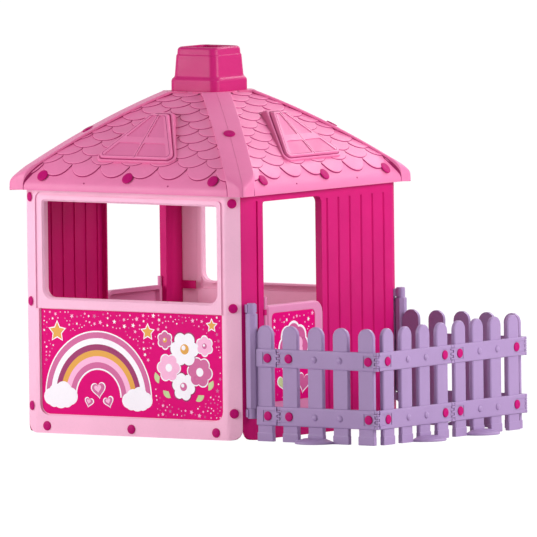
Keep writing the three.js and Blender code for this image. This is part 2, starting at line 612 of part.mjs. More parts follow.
const eaveSeats = [-1, 0, 1].map((i) => ({
  at: [i * EAVE_PLUG_X, EAVE_PLUG_IN - EAVE, ROOF_Z0 + EAVE_PLUG_UP], along: [0, -1, EAVE_PLUG_RISE],
}));
const hipSeats = [-1, 1].map((side) => ({
  at: [side * HIP_PLUG_H, -HIP_PLUG_H, SLOPE_Z0 + (SLOPE_H0 - HIP_PLUG_H) * RISE + HIP_PLUG_LIFT],
  along: [side * RISE, -RISE, 2],
}));

function chimney() {
  const ring = ([half, r, z]) => rounded(-half, half, -half, half, [r, r, r, r], 4)
    .map(([x, y]) => [x, y, CHIMNEY_Z0 + z]);
  return loft([...CHIMNEY_OUT, ...CHIMNEY_IN].map(ring), true);
}

// One picket, its middle plane at y = 0, outer face towards -y
function picket(x) {
  const outline = (width) => {
    const r = width / 2;
    const top = PICKET_TOP - (PICKET_W - width) / 2 - r;
    const points = [[x - r, 0], [x + r, 0]];
    for (let k = 0; k <= 8; k += 1) {
      points.push([x + r * Math.cos((Math.PI * k) / 8), top + r * Math.sin((Math.PI * k) / 8)]);
    }
    return points;
  };
  const ring = (width, y) => outline(width).map(([u, z]) => [u, y, z]);
  const face = -PICKET_T / 2;
  return loft([ring(PICKET_FACE, face), ring(PICKET_W, face + 4), ring(PICKET_W, PICKET_T / 2)]);
}

// Straight piece of fence in its own frame: x along it from 0 to length, outer face towards -y.
// ends holds, for each end, null or the distance from the hinge axis to its plug and the knuckles it owns
function fenceRun(length, pickets, ends, studs, padAt) {
  const parts = pickets.map(picket);
  const x0 = ends[0] ? ends[0].stop : 0;
  const x1 = length - (ends[1] ? ends[1].stop : 0);
  for (const [z0, z1] of RAILS) {
    parts.push(box(x0, x1, -RAIL_OUT, RAIL_T - RAIL_OUT, z0, z1));
    for (const x of studs) {
      const g = new THREE.LatheGeometry(
        [[0, -3], [STUD_R, -3], [STUD_R - 1, 1.5], [0, 5.5]].map((p) => new THREE.Vector2(...p)), 8,
      );
      parts.push(aimed(solid(g.rotateX(Math.PI / 2)), [x, -RAIL_OUT, (z0 + z1) / 2], [0, -1, 0]));
    }
  }
  if (padAt) parts.push(pad(padAt));
  let run = join(parts);
  for (const z of RAIL_MIDDLES) {
    ends.forEach((end, i) => {
      if (!end) return;
      const flip = (part) => (i ? part.mirror([1, 0, 0]).translate([length, 0, 0]) : part);
      const far = end.reach + PLUG_R + 3;
      const sunk = box(end.stop - 5, far, -RAIL_OUT - 1, -RAIL_OUT + POCKET_D, z - POCKET_H, z + POCKET_H);
      run = run.subtract(flip(sunk)).add(flip(knuckles(z, end)));
      run = run.add(flip(aimed(plugHead(), [end.reach, -RAIL_OUT + POCKET_D, z], [0, -1, 0])));
    });
  }
  return run;
}

// Knuckles of one hinge at the start of a run, joined to its rail
function knuckles(z, end) {
  const y = AXIS_IN - RAIL_OUT;
  return join(end.own.map((i) => {
    const z0 = z - KNUCKLE_STACK / 2 + i * (KNUCKLE_H + KNUCKLE_GAP);
    const ring = rod(0, y, KNUCKLE_R, z0, z0 + KNUCKLE_H)
      .add(box(2, end.stop + 2, -RAIL_OUT + POCKET_D, -RAIL_OUT + POCKET_D + 5, z0, z0 + KNUCKLE_H));
    return ring.subtract(rod(0, y, HINGE_PIN_R + 2 * PIVOT_PLAY, z0 - 1, z0 + KNUCKLE_H + 1, 6));
  }));
}

// Half-round foot on the outer side of a picket
function pad(x) {
  const ring = (radius, z) => {
    const points = [];
    for (let k = 0; k <= 8; k += 1) {
      const a = Math.PI + (Math.PI * k) / 8;
      points.push([x + radius * Math.cos(a), -6 + radius * Math.sin(a), z]);
    }
    return points;
  };
  return loft([ring(PAD_R, 0), ring(PAD_R, 8), ring(PAD_R * 0.6, PAD_H)]);
}

// Hinge pins stand loose in their knuckles, from the lowest to the highest
const pinHalf = KNUCKLE_STACK / 2 - 1;
const hingePin = (x, y, z) => rod(x, y, HINGE_PIN_R, z - pinHalf, z + pinHalf, 6);
const mirrorY = (part) => part.mirror([0, 1, 0]);
const outerSet = (reach, stop = RAIL_STOP) => ({ reach, stop, own: [0, 2] });
const innerSet = (reach, stop = RAIL_STOP) => ({ reach, stop, own: [1] });

// End piece with its post, in house coordinates, front side
const END_START = 22; // rail's start, from the post axis
function endPiece() {
  let piece = rod(POST_X, -POST_Y, POST_BODY_R, POST_Z[1], POST_Z[2], 8)
    .add(rod(POST_X, -POST_Y, POST_R, POST_Z[0], POST_Z[1] + 1, 12))
    .add(rod(POST_X, -POST_Y, POST_R, POST_Z[2] - 1, POST_Z[3], 12));
  piece = piece.add(box(POST_X + 8, POST_X + PICKET_FIRST - 20, -RUN_Y - 6, -RUN_Y + 6, POST_Z[1], WEB_TOP));
  const length = SPLIT_X - POST_X - END_START;
  const run = fenceRun(length, [PICKET_FIRST - END_START], [null, innerSet(PLUG_REACH)], [], 0);
  return piece.add(run.translate([POST_X + END_START, -RUN_Y, 0]));
}

// Clip that holds both narrow ends of a post to the corner bevel, front side
function postClips() {
  const normal = Math.atan2(-bevelOut[0], bevelOut[1]); // outward from the doorway wall's bevel
  const seat = [(WALL + CORNER) / 2, -(CORNER + FLAT) / 2];
  const away = [Math.cos(normal), Math.sin(normal)];
  const stand = (POST_X - seat[0]) * away[0] + (-POST_Y - seat[1]) * away[1];
  const r0 = POST_R + PIVOT_PLAY;
  const r1 = Math.min(r0 + CLIP_T, stand - 1.5);
  const arc = [];
  const half = (100 * Math.PI) / 180;
  for (let k = 0; k <= 12; k += 1) {
    const a = Math.PI - half + (2 * half * k) / 12;
    arc.push([r1 * Math.cos(a), r1 * Math.sin(a)]);
  }
  for (let k = 12; k >= 0; k -= 1) {
    const a = Math.PI - half + (2 * half * k) / 12;
    arc.push([(r0 / Math.cos(half / 12)) * Math.cos(a), (r0 / Math.cos(half / 12)) * Math.sin(a)]);
  }
  const turn = (part) => placed(part, (normal * 180) / Math.PI, POST_X, -POST_Y, 0);
  const back = GAP + 0.2 - stand;
  const cradles = CLIP_Z.map((z) => prismZ(arc, z, z + CLIP_H).add(box(back, 1 - r0, -14, 14, z, z + CLIP_H)
    .subtract(rod(0, 0, r0 + 0.5, z - 1, z + CLIP_H + 1, 24))));
  const strip = box(back, -POST_BODY_R - PIVOT_PLAY, -STRIP_W / 2, STRIP_W / 2, CLIP_Z[0], CLIP_Z[1] + 1);
  return turn(join([...cradles, strip]));
}

// House
const window0 = windowWall();
const doorway0 = doorwayWall();
const door0 = halfDoor();
const print0 = wallPrint();
const doorPrint0 = doorPrint();
const turned = (part, degrees) => part.translate([0, -WALL, 0]).rotate([0, 0, degrees]);
for (const [side, degrees] of [["front", 0], ["back", 180]]) {
  add(`wall_${side}`, turned(window0, degrees), WALL_PINK);
  add(`print_${side}`, turned(print0, degrees), PRINT_PINK);
  bevelSeats.forEach((seat, i) => {
    const name = `plug_${side}_${i < 3 ? "left" : "right"}_${["low", "mid", "high"][i % 3]}`;
    add(name, turned(aimed(plug(), seat.at, seat.along), degrees), PLUG_MAGENTA);
  });
}
for (const [side, degrees] of [["right", 90], ["left", 270]]) {
  add(`wall_${side}`, turned(doorway0, degrees), MAGENTA);
  add(`door_${side}`, turned(door0, degrees), WALL_PINK);
  add(`door_print_${side}`, turned(doorPrint0, degrees), PRINT_PINK);
}
const roofs = SHINGLE_X0.map(roofPanel);
for (const [side, degrees] of [["front", 0], ["right", 90], ["back", 180], ["left", 270]]) {
  add(`roof_${side}`, roofs[(degrees / 90) % 2].rotate([0, 0, degrees]), ROOF_PINK);
  eaveSeats.forEach((seat, i) => {
    const eave = aimed(plug(ROOF_PLUG_R), seat.at, seat.along);
    add(`eave_plug_${side}_${i + 1}`, eave.rotate([0, 0, degrees]), PLUG_MAGENTA);
  });
  const hip = aimed(plug(ROOF_PLUG_R), hipSeats[1].at, hipSeats[1].along);
  add(`hip_plug_${side}`, hip.rotate([0, 0, degrees]), PLUG_MAGENTA);
}
add("chimney", chimney(), CHIMNEY_PINK);

// Fence, front half and its mirror image at the back
const clips0 = postClips();
const end0 = endPiece();
const counted = [...Array(PICKETS).keys()];
const sidePickets = counted.map((i) => FIRST_X + i * PICKET_PITCH - SPLIT_X);
const sideLength = TURN_X - SPLIT_X;
const TURN_REACH_SIDE = sideLength - sidePickets[PICKETS - 1] - 14; // corner hinge to the side panel's plug
const sideEnds = [outerSet(PLUG_REACH), outerSet(TURN_REACH_SIDE)];
const side0 = fenceRun(sideLength, sidePickets, sideEnds, sidePickets.slice(1, 3), sidePickets[1])
  .translate([SPLIT_X, -RUN_Y, 0]);
const facePitch = (TURN_Y - FACE_FIRST) / (PICKETS - 0.5); // its two halves meet midway between pickets
const facePickets = counted.map((i) => FACE_FIRST + i * facePitch);
const TURN_REACH_FACE = FACE_FIRST - 12;
// the two faces meet at the middle hinge, the open one; each owns its set of knuckles there
const face = (middle) => fenceRun(
  TURN_Y, facePickets, [innerSet(TURN_REACH_FACE), middle(PLUG_REACH, RAIL_STOP + OPEN_PLAY)],
  facePickets.slice(1, 3), facePickets[2],
).rotate([0, 0, 90]).translate([RUN_X, -TURN_Y, 0]);
for (const [half, flip, middle] of [["front", (p) => p, innerSet], ["back", mirrorY, outerSet]]) {
  add(`post_clips_${half}`, flip(clips0), LILAC);
  add(`fence_end_${half}`, flip(end0), LILAC);
  add(`fence_side_${half}`, flip(side0), LILAC);
  add(`fence_face_${half}`, flip(face(middle)), LILAC);
  RAIL_MIDDLES.forEach((z, i) => {
    const level = ["low", "high"][i];
    add(`split_pin_${half}_${level}`, flip(hingePin(SPLIT_X, -TURN_Y, z)), LILAC);
    add(`corner_pin_${half}_${level}`, flip(hingePin(TURN_X, -TURN_Y, z)), LILAC);
  });
}

// Origin in the middle of the footprint, on the floor
const bounds = new THREE.Box3().setFromObject(group);
const middle = bounds.getCenter(new THREE.Vector3());
for (const mesh of group.children) mesh.geometry.translate(-middle.x, -middle.y, -bounds.min.z);

export default group;
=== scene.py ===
import json
import math
import random

import bmesh
import bpy
from mathutils import Matrix, Vector

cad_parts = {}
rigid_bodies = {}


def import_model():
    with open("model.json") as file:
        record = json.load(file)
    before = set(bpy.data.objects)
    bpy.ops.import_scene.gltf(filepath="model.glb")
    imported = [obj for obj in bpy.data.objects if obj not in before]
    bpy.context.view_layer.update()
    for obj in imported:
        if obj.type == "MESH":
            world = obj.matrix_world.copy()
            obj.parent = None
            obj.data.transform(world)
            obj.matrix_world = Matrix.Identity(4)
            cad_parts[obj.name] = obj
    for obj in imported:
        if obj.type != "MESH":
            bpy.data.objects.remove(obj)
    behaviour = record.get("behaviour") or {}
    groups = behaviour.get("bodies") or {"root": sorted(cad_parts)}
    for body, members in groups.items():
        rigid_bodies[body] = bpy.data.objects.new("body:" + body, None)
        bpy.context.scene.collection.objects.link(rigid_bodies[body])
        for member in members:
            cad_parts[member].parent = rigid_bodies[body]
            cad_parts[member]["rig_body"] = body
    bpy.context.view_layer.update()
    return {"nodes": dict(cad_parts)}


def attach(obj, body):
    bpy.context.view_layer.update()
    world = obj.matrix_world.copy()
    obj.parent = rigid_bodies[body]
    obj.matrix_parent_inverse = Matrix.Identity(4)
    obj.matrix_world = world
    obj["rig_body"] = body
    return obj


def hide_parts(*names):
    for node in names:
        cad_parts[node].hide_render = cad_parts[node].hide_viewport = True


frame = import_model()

# Sizes are millimetres about the middle of the house, as in the CAD source; SHIFT takes them to the frame's
# origin. The front of the house looks to -Y, the fenced yard lies towards +X.
SHIFT = -302.0
MM = 0.001
AS_IS = Matrix.Identity(4)
BODY_OF = {name: ob["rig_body"] for name, ob in frame["nodes"].items()}


def to_frame(matrix=AS_IS):
    """Millimetres in a local frame to metres in the row frame."""
    return Matrix.Scale(MM, 4) @ Matrix.Translation((SHIFT, 0, 0)) @ matrix


def quarter(i):
    """Turn about the middle of the house: 0 front, 1 right, 2 back, 3 left."""
    return Matrix.Rotation(i * math.pi / 2, 4, "Z")


def aim(at, along):
    """Frame at a point with its +Z along a direction."""
    return Matrix.Translation(at) @ Vector((0, 0, 1)).rotation_difference(Vector(along)).to_matrix().to_4x4()


# Materials
# Noises for tint, specks, gloss and waves, each as scale and detail
CLOUDS, SPECKS, PATCHES, WAVES = (5.0, 4.0), (160.0, 2.0), (11.0, 5.0), (9.0, 1.0)
SOFT_SPAN, SPECK_SPAN = (0.3, 0.7), (0.3, 0.5)  # part of a noise that a ramp spreads out
NOISE_ROUGHNESS, GRAIN_DETAIL = 0.55, 2.0
CLOUD_LIGHT = 0.6  # how far the tint goes up, against how far it goes down
SPECK_SHARE, SPECK_DARK = 0.6, 0.96
PATCH_BELOW, PATCH_ABOVE = 0.05, 0.07
WAVE_STRENGTH, WAVE_DEPTH, WAVE_STRETCH = 0.35, 0.0012, (1.0, 1.0, 0.35)
GRAIN_STRENGTH, GRAIN_SCALE = 0.5, 900.0
IOR = 1.5


def srgb(r, g, b):
    """Colour given in sRGB from 0 to 255, as linear values."""
    def linear(c):
        return c / 12.92 if c <= 0.04045 else ((c + 0.055) / 1.055) ** 2.4
    return tuple(linear(c / 255) for c in (r, g, b)) + (1.0,)


def grey(v):
    return (v, v, v, 1.0)


def new_node(tree, kind, **inputs):
    """Shader node of a kind, with numbers or colours set on its inputs."""
    node = tree.nodes.new("ShaderNode" + kind)
    for name, value in inputs.items():
        node.inputs[name].default_value = value
    return node


def new_material(name):
    """Material with a principled shader, given with its tree and that shader."""
    material = bpy.data.materials.new(name)
    material.use_nodes = True
    tree = material.node_tree
    tree.nodes.clear()
    out = new_node(tree, "OutputMaterial")
    bsdf = new_node(tree, "BsdfPrincipled")
    tree.links.new(bsdf.outputs["BSDF"], out.inputs["Surface"])
    return material, tree, bsdf


def noise(tree, where, scale, detail):
    node = new_node(tree, "TexNoise", Scale=scale, Detail=detail, Roughness=NOISE_ROUGHNESS)
    tree.links.new(where, node.inputs["Vector"])
    return node.outputs["Fac"]


def ramp(tree, value, low, high, span):
    node = new_node(tree, "ValToRGB")
    for stop, at, colour in zip(node.color_ramp.elements, span, (low, high)):
        stop.position = at
        stop.color = colour
    tree.links.new(value, node.inputs["Fac"])
    return node.outputs["Color"]


def mixed(tree, share, first, second):
    node = new_node(tree, "MixShader")
    for socket, source in zip(node.inputs, (share, first, second)):
        tree.links.new(source, socket)
    return node.outputs["Shader"]


def bump(tree, height, strength, distance):
    node = new_node(tree, "Bump", Strength=strength, Distance=distance)
    tree.links.new(height, node.inputs["Height"])
    return node


def moulded(name, colour, rough=0.42, grain=0.00012, grain_scale=GRAIN_SCALE, drift=0.05, shine=0.35):
    """Satin moulded plastic: cloudy tint with specks, patches of gloss, shallow waves and a fine pebble."""
    material, tree, bsdf = new_material(name)
    where = new_node(tree, "TexCoord").outputs["Object"]
    dark = tuple(c * (1 - drift) for c in colour[:3]) + (1.0,)
    light = tuple(min(1, c * (1 + CLOUD_LIGHT * drift)) for c in colour[:3]) + (1.0,)
    tint = ramp(tree, noise(tree, where, *CLOUDS), dark, light, SOFT_SPAN)
    specks = ramp(tree, noise(tree, where, *SPECKS), grey(SPECK_DARK), grey(1.0), SPECK_SPAN)
    mix = new_node(tree, "Mix")
    mix.data_type = "RGBA"
    mix.blend_type = "MULTIPLY"
    mix.inputs["Factor"].default_value = SPECK_SHARE
    tree.links.new(tint, mix.inputs[6])
    tree.links.new(specks, mix.inputs[7])
    tree.links.new(mix.outputs[2], bsdf.inputs["Base Color"])
    patches = noise(tree, where, *PATCHES)
    gloss = ramp(tree, patches, grey(rough - PATCH_BELOW), grey(rough + PATCH_ABOVE), SOFT_SPAN)
    tree.links.new(gloss, bsdf.inputs["Roughness"])
    bsdf.inputs["IOR"].default_value = IOR
    bsdf.inputs["Specular IOR Level"].default_value = shine
    pebble = bump(tree, noise(tree, where, grain_scale, GRAIN_DETAIL), GRAIN_STRENGTH, grain)
    stretch = new_node(tree, "Mapping", Scale=WAVE_STRETCH)
    tree.links.new(where, stretch.inputs["Vector"])
    waves = bump(tree, noise(tree, stretch.outputs["Vector"], *WAVES), WAVE_STRENGTH, WAVE_DEPTH)
    tree.links.new(waves.outputs["Normal"], pebble.inputs["Normal"])
    tree.links.new(pebble.outputs["Normal"], bsdf.inputs["Normal"])
    return material


PINK = moulded("pink_wall_plastic", srgb(247, 186, 214), rough=0.45)
DOOR = moulded("door_plastic", srgb(222, 136, 180), rough=0.45)
MAGENTA = moulded("magenta_wall_plastic", srgb(200, 14, 110), drift=0.06, rough=0.5, shine=0.14)
ROOF = moulded("roof_plastic", srgb(230, 121, 170))
# Painted shade: a darker pink for the scallops' steps, the edges of the caps, the skylight's creases and
# groove, and the dots that stand for tiny holes
ROOF_PAINTED_SHADE = moulded("roof_painted_shade_in_steps", srgb(160, 38, 98), rough=0.5, shine=0.15)
PANE = moulded("roof_pane_stipple", srgb(222, 112, 162), rough=0.5, grain=0.0006, grain_scale=420.0)
CHIMNEY = moulded("chimney_plastic", srgb(196, 26, 112), rough=0.34, shine=0.2)
PLUG = moulded("plug_plastic", srgb(184, 0, 106), rough=0.5, shine=0.12)
LILAC = moulded("fence_plastic", srgb(161, 133, 178), drift=0.04)
PIN = moulded("hinge_pin_plastic", srgb(96, 60, 112), rough=0.5)

PRINT_GRAIN = 0.00004
FILM = moulded("print_film", srgb(222, 0, 118), rough=0.45, grain=PRINT_GRAIN, shine=0.06)
INK_COLOURS = (("white", (248, 244, 250), 0.02), ("blush", (246, 178, 214), 0.03),
               ("rose", (206, 92, 150), 0.05), ("deep", (150, 0, 92), 0.05),
               ("gold", (226, 160, 52), 0.06), ("leaf", (196, 212, 150), 0.06))
PRINT_INKS = [FILM] + [moulded(f"ink_{name}", srgb(*colour), rough=0.3, grain=PRINT_GRAIN, drift=drift)
                       for name, colour, drift in INK_COLOURS]
WHITE, BLUSH, ROSE, DEEP, GOLD, LEAF = range(1, 7)  # places of the inks in PRINT_INKS

# Meshes
BEVEL_FROM = 28.0  # degrees between two faces from which their edge is rounded
WELD, FLATNESS = 2e-5, 0.8  # metres and degrees within which a CAD mesh's corners and faces are one
FACE_WEIGHT = 60


def add_object(name, data):
    ob = bpy.data.objects.new(name, data)
    bpy.context.scene.collection.objects.link(ob)
    return ob


def object_of(name, bm, materials):
    """Object in the scene from a mesh in the making, which is used up."""
    mesh = bpy.data.meshes.new(name)
    bm.to_mesh(mesh)
    bm.free()
    for material in materials:
        mesh.materials.append(material)
    return add_object(name, mesh)


def shaped_mesh(ob):
    """Mesh of an object with its modifiers applied."""
    bpy.context.view_layer.update()
    return bpy.data.meshes.new_from_object(ob.evaluated_get(bpy.context.evaluated_depsgraph_get()))


def finish_mesh(name, bm, matrix, materials, body, nodes=(), sharp=34.0, bevel=0.0, steps=2):
    """Places a mesh, rounds its edges, smooths it and sets it to ride on its body."""
    bmesh.ops.transform(bm, matrix=matrix, verts=bm.verts)
    bmesh.ops.recalc_face_normals(bm, faces=bm.faces)
    ob = object_of(name, bm, materials)
    if bevel:
        mod = ob.modifiers.new("edge", "BEVEL")
        mod.width = bevel * MM
        mod.segments = steps
        mod.limit_method = "ANGLE"
        mod.angle_limit = math.radians(BEVEL_FROM)
        ob.data = shaped_mesh(ob)
        ob.data.name = name
        ob.modifiers.clear()
    smooth(ob, sharp)
    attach(ob, body)
    if nodes:
        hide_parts(*nodes)


def smooth(ob, sharp):
    """Smooth shading, but for edges that turn by more than sharp degrees."""
    ob.data.polygons.foreach_set("use_smooth", [True] * len(ob.data.polygons))
    ob.data.set_sharp_from_angle(angle=math.radians(sharp))
    mod = ob.modifiers.new("weighted", "WEIGHTED_NORMAL")
    mod.keep_sharp = True
    mod.weight = FACE_WEIGHT


def dressed(node, material, bevel, steps=2):
    """A finer stand-in for a CAD node: same shape with welded, rounded edges."""
    bm = bmesh.new()
    bm.from_mesh(frame["nodes"][node].data)
    bmesh.ops.remove_doubles(bm, verts=bm.verts, dist=WELD)
    bmesh.ops.dissolve_limit(bm, angle_limit=math.radians(FLATNESS), verts=bm.verts, edges=bm.edges)
    for face in bm.faces:
        face.material_index = 0
    finish_mesh(node + "_skin", bm, AS_IS, [material], BODY_OF[node], [node], bevel=bevel, steps=steps)


def add_ring(bm, points):
    return [bm.verts.new(p) for p in points]


def bridge(bm, a, b, closed=True, index=0):
    """Faces between two rows of as many points; index picks their material."""
    n = len(a)
    faces = []
    for k in range(n if closed else n - 1):
        m = (k + 1) % n
        face = bm.faces.new((a[k], a[m], b[m], b[k]))
        face.material_index = index
        faces.append(face)
    return faces


def loft(bm, rings, caps=True, index=0):
    """Skin over closed rings of as many points, with a face on either end."""
    made = [add_ring(bm, ring) for ring in rings]
    for a, b in zip(made, made[1:]):
        bridge(bm, a, b, True, index)
    if caps:
        for ring in (made[0], made[-1]):
            bm.faces.new(ring).material_index = index
    return made


def lathe(bm, profile, matrix, sides=32):
    """Round piece about +Z; its profile gives radius and height from the foot to the middle of the top."""
    turns = [2 * math.pi * k / sides for k in range(sides)]
    made = [add_ring(bm, [matrix @ Vector((r * math.cos(a), r * math.sin(a), z)) for a in turns])
            for r, z in profile if r > 0]
    for a, b in zip(made, made[1:]):
        bridge(bm, a, b)
    bm.faces.new(made[0])
    tip = bm.verts.new(matrix @ Vector((0, 0, profile[-1][1])))
    for k in range(sides):
        bm.faces.new((made[-1][k], made[-1][(k + 1) % sides], tip))


# Flat outlines
def arc(x, y, r, start, end, steps):
    """Points of an arc about (x, y), from start to end in degrees."""
    turns = [math.radians(start + (end - start) * k / steps) for k in range(steps + 1)]
    return [(x + r * math.cos(a), y + r * math.sin(a)) for a in turns]


def rounded(x0, x1, y0, y1, r, steps):
    """Rectangle with round corners, from its lower left corner to its upper left one."""
    corners = ((x0 + r, y0 + r, 180), (x1 - r, y0 + r, 270), (x1 - r, y1 - r, 0), (x0 + r, y1 - r, 90))
    return [p for x, y, start in corners for p in arc(x, y, r, start, start + 90, steps)]


SIDE_PARTS = 2.2  # a corner's curve takes at most a side's length over this


def soft_corners(points, r, steps=4):
    """Polygon with each corner replaced by a small curve."""
    made = []
    for i, point in enumerate(points):
        corner = Vector(point)
        start, end = [corner + (p - corner).normalized() * min(r, (p - corner).length / SIDE_PARTS)
                      for p in (Vector(points[i - 1]), Vector(points[(i + 1) % len(points)]))]
        for k in range(steps + 1):
            t = k / steps
            p = start * (1 - t) ** 2 + corner * 2 * t * (1 - t) + end * t * t
            made.append((p.x, p.y))
    return made


def grow(points, d):
    """Outline pushed out from its own middle by d."""
    middle = sum((Vector(p) for p in points), Vector((0, 0))) / len(points)
    return [tuple(Vector(p) + (Vector(p) - middle).normalized() * d) for p in points]


def through(stops, steps):
    """Smooth curve through stops of any number of values, without its last stop."""
    ends = [stops[0]] + stops + [stops[-1]]
    points = []
    for a, b, c, d in zip(ends, ends[1:], ends[2:], ends[3:]):
        for k in range(steps):
            t = k / steps
            points.append(tuple(0.5 * (2 * q + (r - p) * t + (2 * p - 5 * q + 4 * r - s) * t ** 2
                                       + (3 * q - p - 3 * r + s) * t ** 3) for p, q, r, s in zip(a, b, c, d)))
    return points


# House walls, from the middle of the house: corner edge, end of the flat part and face; depth of the corners
CORNER, FLAT, WALL, BEVEL = 471.0, 418.0, 497.0, 26.0
for side in ("front", "back"):
    dressed(f"wall_{side}", PINK, bevel=2.2)
for side in ("right", "left"):
    dressed(f"wall_{side}", MAGENTA, bevel=1.8)
    dressed(f"door_{side}", DOOR, bevel=2.0)

# Plugs of the walls
PLUG_R, PLUG_DOME, PLUG_LIFT = 17.0, 5.0, 2.5
CORNER_PLUG_Z = (("low", 96.0), ("mid", 470.5), ("high", 844.0))
FOOT_PLUG_X, FOOT_PLUG_Z, FOOT_PLUG_DOME = (-373, 0, 373), 26, 5.6


def plug_profile(r, dome=PLUG_DOME):
    """Flat dome with a turned rim and a shallow dish in its middle."""
    return [(r, 0.3), (r, 2.0), (r - 0.7, 3.1), (r - 2.2, 3.8), (r - 4.6, 4.3), (r * 0.55, dome - 0.4),
            (r * 0.42, dome - 0.1), (r * 0.3, dome - 0.5), (0, dome - 0.6)]


def house_plug(node, r, at, along, q):
    """Plug in the place of the CAD node of that name, on side q of the house."""
    bm = bmesh.new()
    lathe(bm, plug_profile(r), aim(at, along))
    finish_mesh(node + "_skin", bm, to_frame(quarter(q)), [PLUG], "house", [node])


out = Vector((BEVEL, CORNER - FLAT)).normalized()
for q, side in ((0, "front"), (2, "back")):
    for hand, sign in (("left", -1), ("right", 1)):
        for level, z in CORNER_PLUG_Z:
            along = Vector((sign * out.x, -out.y, 0))
            at = Vector((sign * (CORNER + FLAT) / 2, BEVEL / 2 - WALL, z)) + along * PLUG_LIFT
            house_plug(f"plug_{side}_{hand}_{level}", PLUG_R, at, along, q)
    bm = bmesh.new()
    for x in FOOT_PLUG_X:
        lathe(bm, plug_profile(PLUG_R, FOOT_PLUG_DOME), aim((x, -WALL, FOOT_PLUG_Z), (0, -1, 0)))
    finish_mesh(f"base_plugs_{side}", bm, to_frame(quarter(q)), [PLUG], "house", ())

# Roof: scalloped fields swell between flat caps on the hips. The straight slope starts SLOPE_H0 out and
# SLOPE_Z0 up; its own frame has x along the eave, v up the slope and n off it.
SLOPE_H0, SLOPE_Z0, RISE, CROWN, CROWN_Z = 480.0, 936.0, 0.7262, 106.0, 1207.6
TILT = math.atan(RISE)
SLOPE = Matrix.Translation((0, -SLOPE_H0, SLOPE_Z0)) @ Matrix.Rotation(TILT, 4, "X")
SLOPE_LENGTH = (SLOPE_H0 - CROWN) / math.cos(TILT)
SWELL, SWELL_AT = 27.0, 335.0  # height of the swelling and where it is highest
SWELL_OUT, SWELL_IN = (184.0, 3.0), (229.0, 3.2)  # its reach and power outwards and inwards
HIP_W, SEAM = 68.0, 0.45  # from hip to field, and half of the seam between two caps
CAP_OUT, CAP_CUT, CAP_BOW = 8.0, 70.0, 3.0  # cap beyond the field, cut and bow of its corner
CAP_H0, CAP_Z0, CAP_FALL, CAP_BEND = 137.9, 1214.7, 0.55, 0.000485  # cap's top end and fall
CAP_NARROWS = 150.0  # distance out from which a cap narrows to the crown
CROWN_LIP, CROWN_CUT, CROWN_BOW, CROWN_HALF = 3.0, 26.0, 6.0, 14
SHAFT, SHAFT_Z, SHAFT_CUT = 84, 1200, 20  # opening under the chimney
ARCH_FOOT, ARCH_TOP = 140.0, 117.0  # where the field starts to close, and where it has closed
RIM_IN, RIM_Z, RIM_CUT, RIM_BOW, RIM_HALF = 463, 875.3, 10, 3, 395  # rim that rests on the walls
EAVE_FOOT, EAVE_STEPS = 870.4, 5


def swell(h):
    """How far the field stands above the straight slope at a distance out."""
    reach, power = SWELL_OUT if h > SWELL_AT else SWELL_IN
    return SWELL * max(0.0, 1 - (abs(h - SWELL_AT) / reach) ** power)


def slope_z(h):
    return SLOPE_Z0 + (SLOPE_H0 - h) * RISE + swell(h)


def cap_level(h):
    """Cap beside the field at h: distance out and height, cut and bow of its corner."""
    out = h + CAP_OUT
    far = out - CAP_H0
    z = min(CAP_Z0 - CAP_FALL * far - CAP_BEND * far * far, CROWN_Z + CROWN_LIP)
    near = min(1.0, max(0.0, (CAP_NARROWS - out) / (CAP_NARROWS - CROWN)))
    return out, z, CAP_CUT + (CROWN_CUT - CAP_CUT) * near, CAP_BOW + (CROWN_BOW - CAP_BOW) * near


# Eave from its foot to the slope: field out and up, cap out and up, cut and bow of the cap's corner
EAVE_STOPS = [(519, EAVE_FOOT, 519.5, EAVE_FOOT, 23, 9), (519.6, 879, 519.6, 880, 23, 9),
              (517.5, 892, 519.6, 904, 29, 10), (511, 905, 517.4, 925, 52, 9),
              (498.5, 923, 506.5, 946, 69, 5), (SLOPE_H0, slope_z(SLOPE_H0), *cap_level(SLOPE_H0))]
EAVE_CURVE = through(EAVE_STOPS, EAVE_STEPS)


def field_z(h):
    """Height of the field at a distance out, on the slope or over the eave."""
    if h <= SLOPE_H0:
        return slope_z(h)
    curve = EAVE_CURVE[EAVE_STEPS:] + [EAVE_STOPS[-1]]
    for low, high in zip(curve, curve[1:]):
        if high[0] <= h <= low[0]:
            return low[1] + (high[1] - low[1]) * (low[0] - h) / max(1e-6, low[0] - high[0])
    return curve[0][1]


def on_field(x, v, n):
    """Point of the straight slope's own frame, lifted on to the field."""
    p = SLOPE @ Vector((x, v, n))
    p.z += field_z(-p.y) - SLOPE_Z0 - (SLOPE_H0 + p.y) * RISE
    return p


def hip_at(v):
    """Distance out from the house's middle at v up the slope."""
    return SLOPE_H0 - v * math.cos(TILT)


def field_half(h):
    """Half width of the field: the caps bound it, and it closes in an arch below the crown."""
    if h >= ARCH_FOOT:
        return h - HIP_W
    t = min(1.0, (ARCH_FOOT - h) / (ARCH_FOOT - ARCH_TOP))
    return max(CROWN_HALF, (ARCH_FOOT - HIP_W) * (1 - t ** 2.5) ** 0.4)


SLOPE_ROWS, SLOPE_STEP, ARCH_ROWS, ARCH_STEP = 43, 8.0, 10, 2.3
CROWN_ROWS = 7  # rows past the last one on the slope


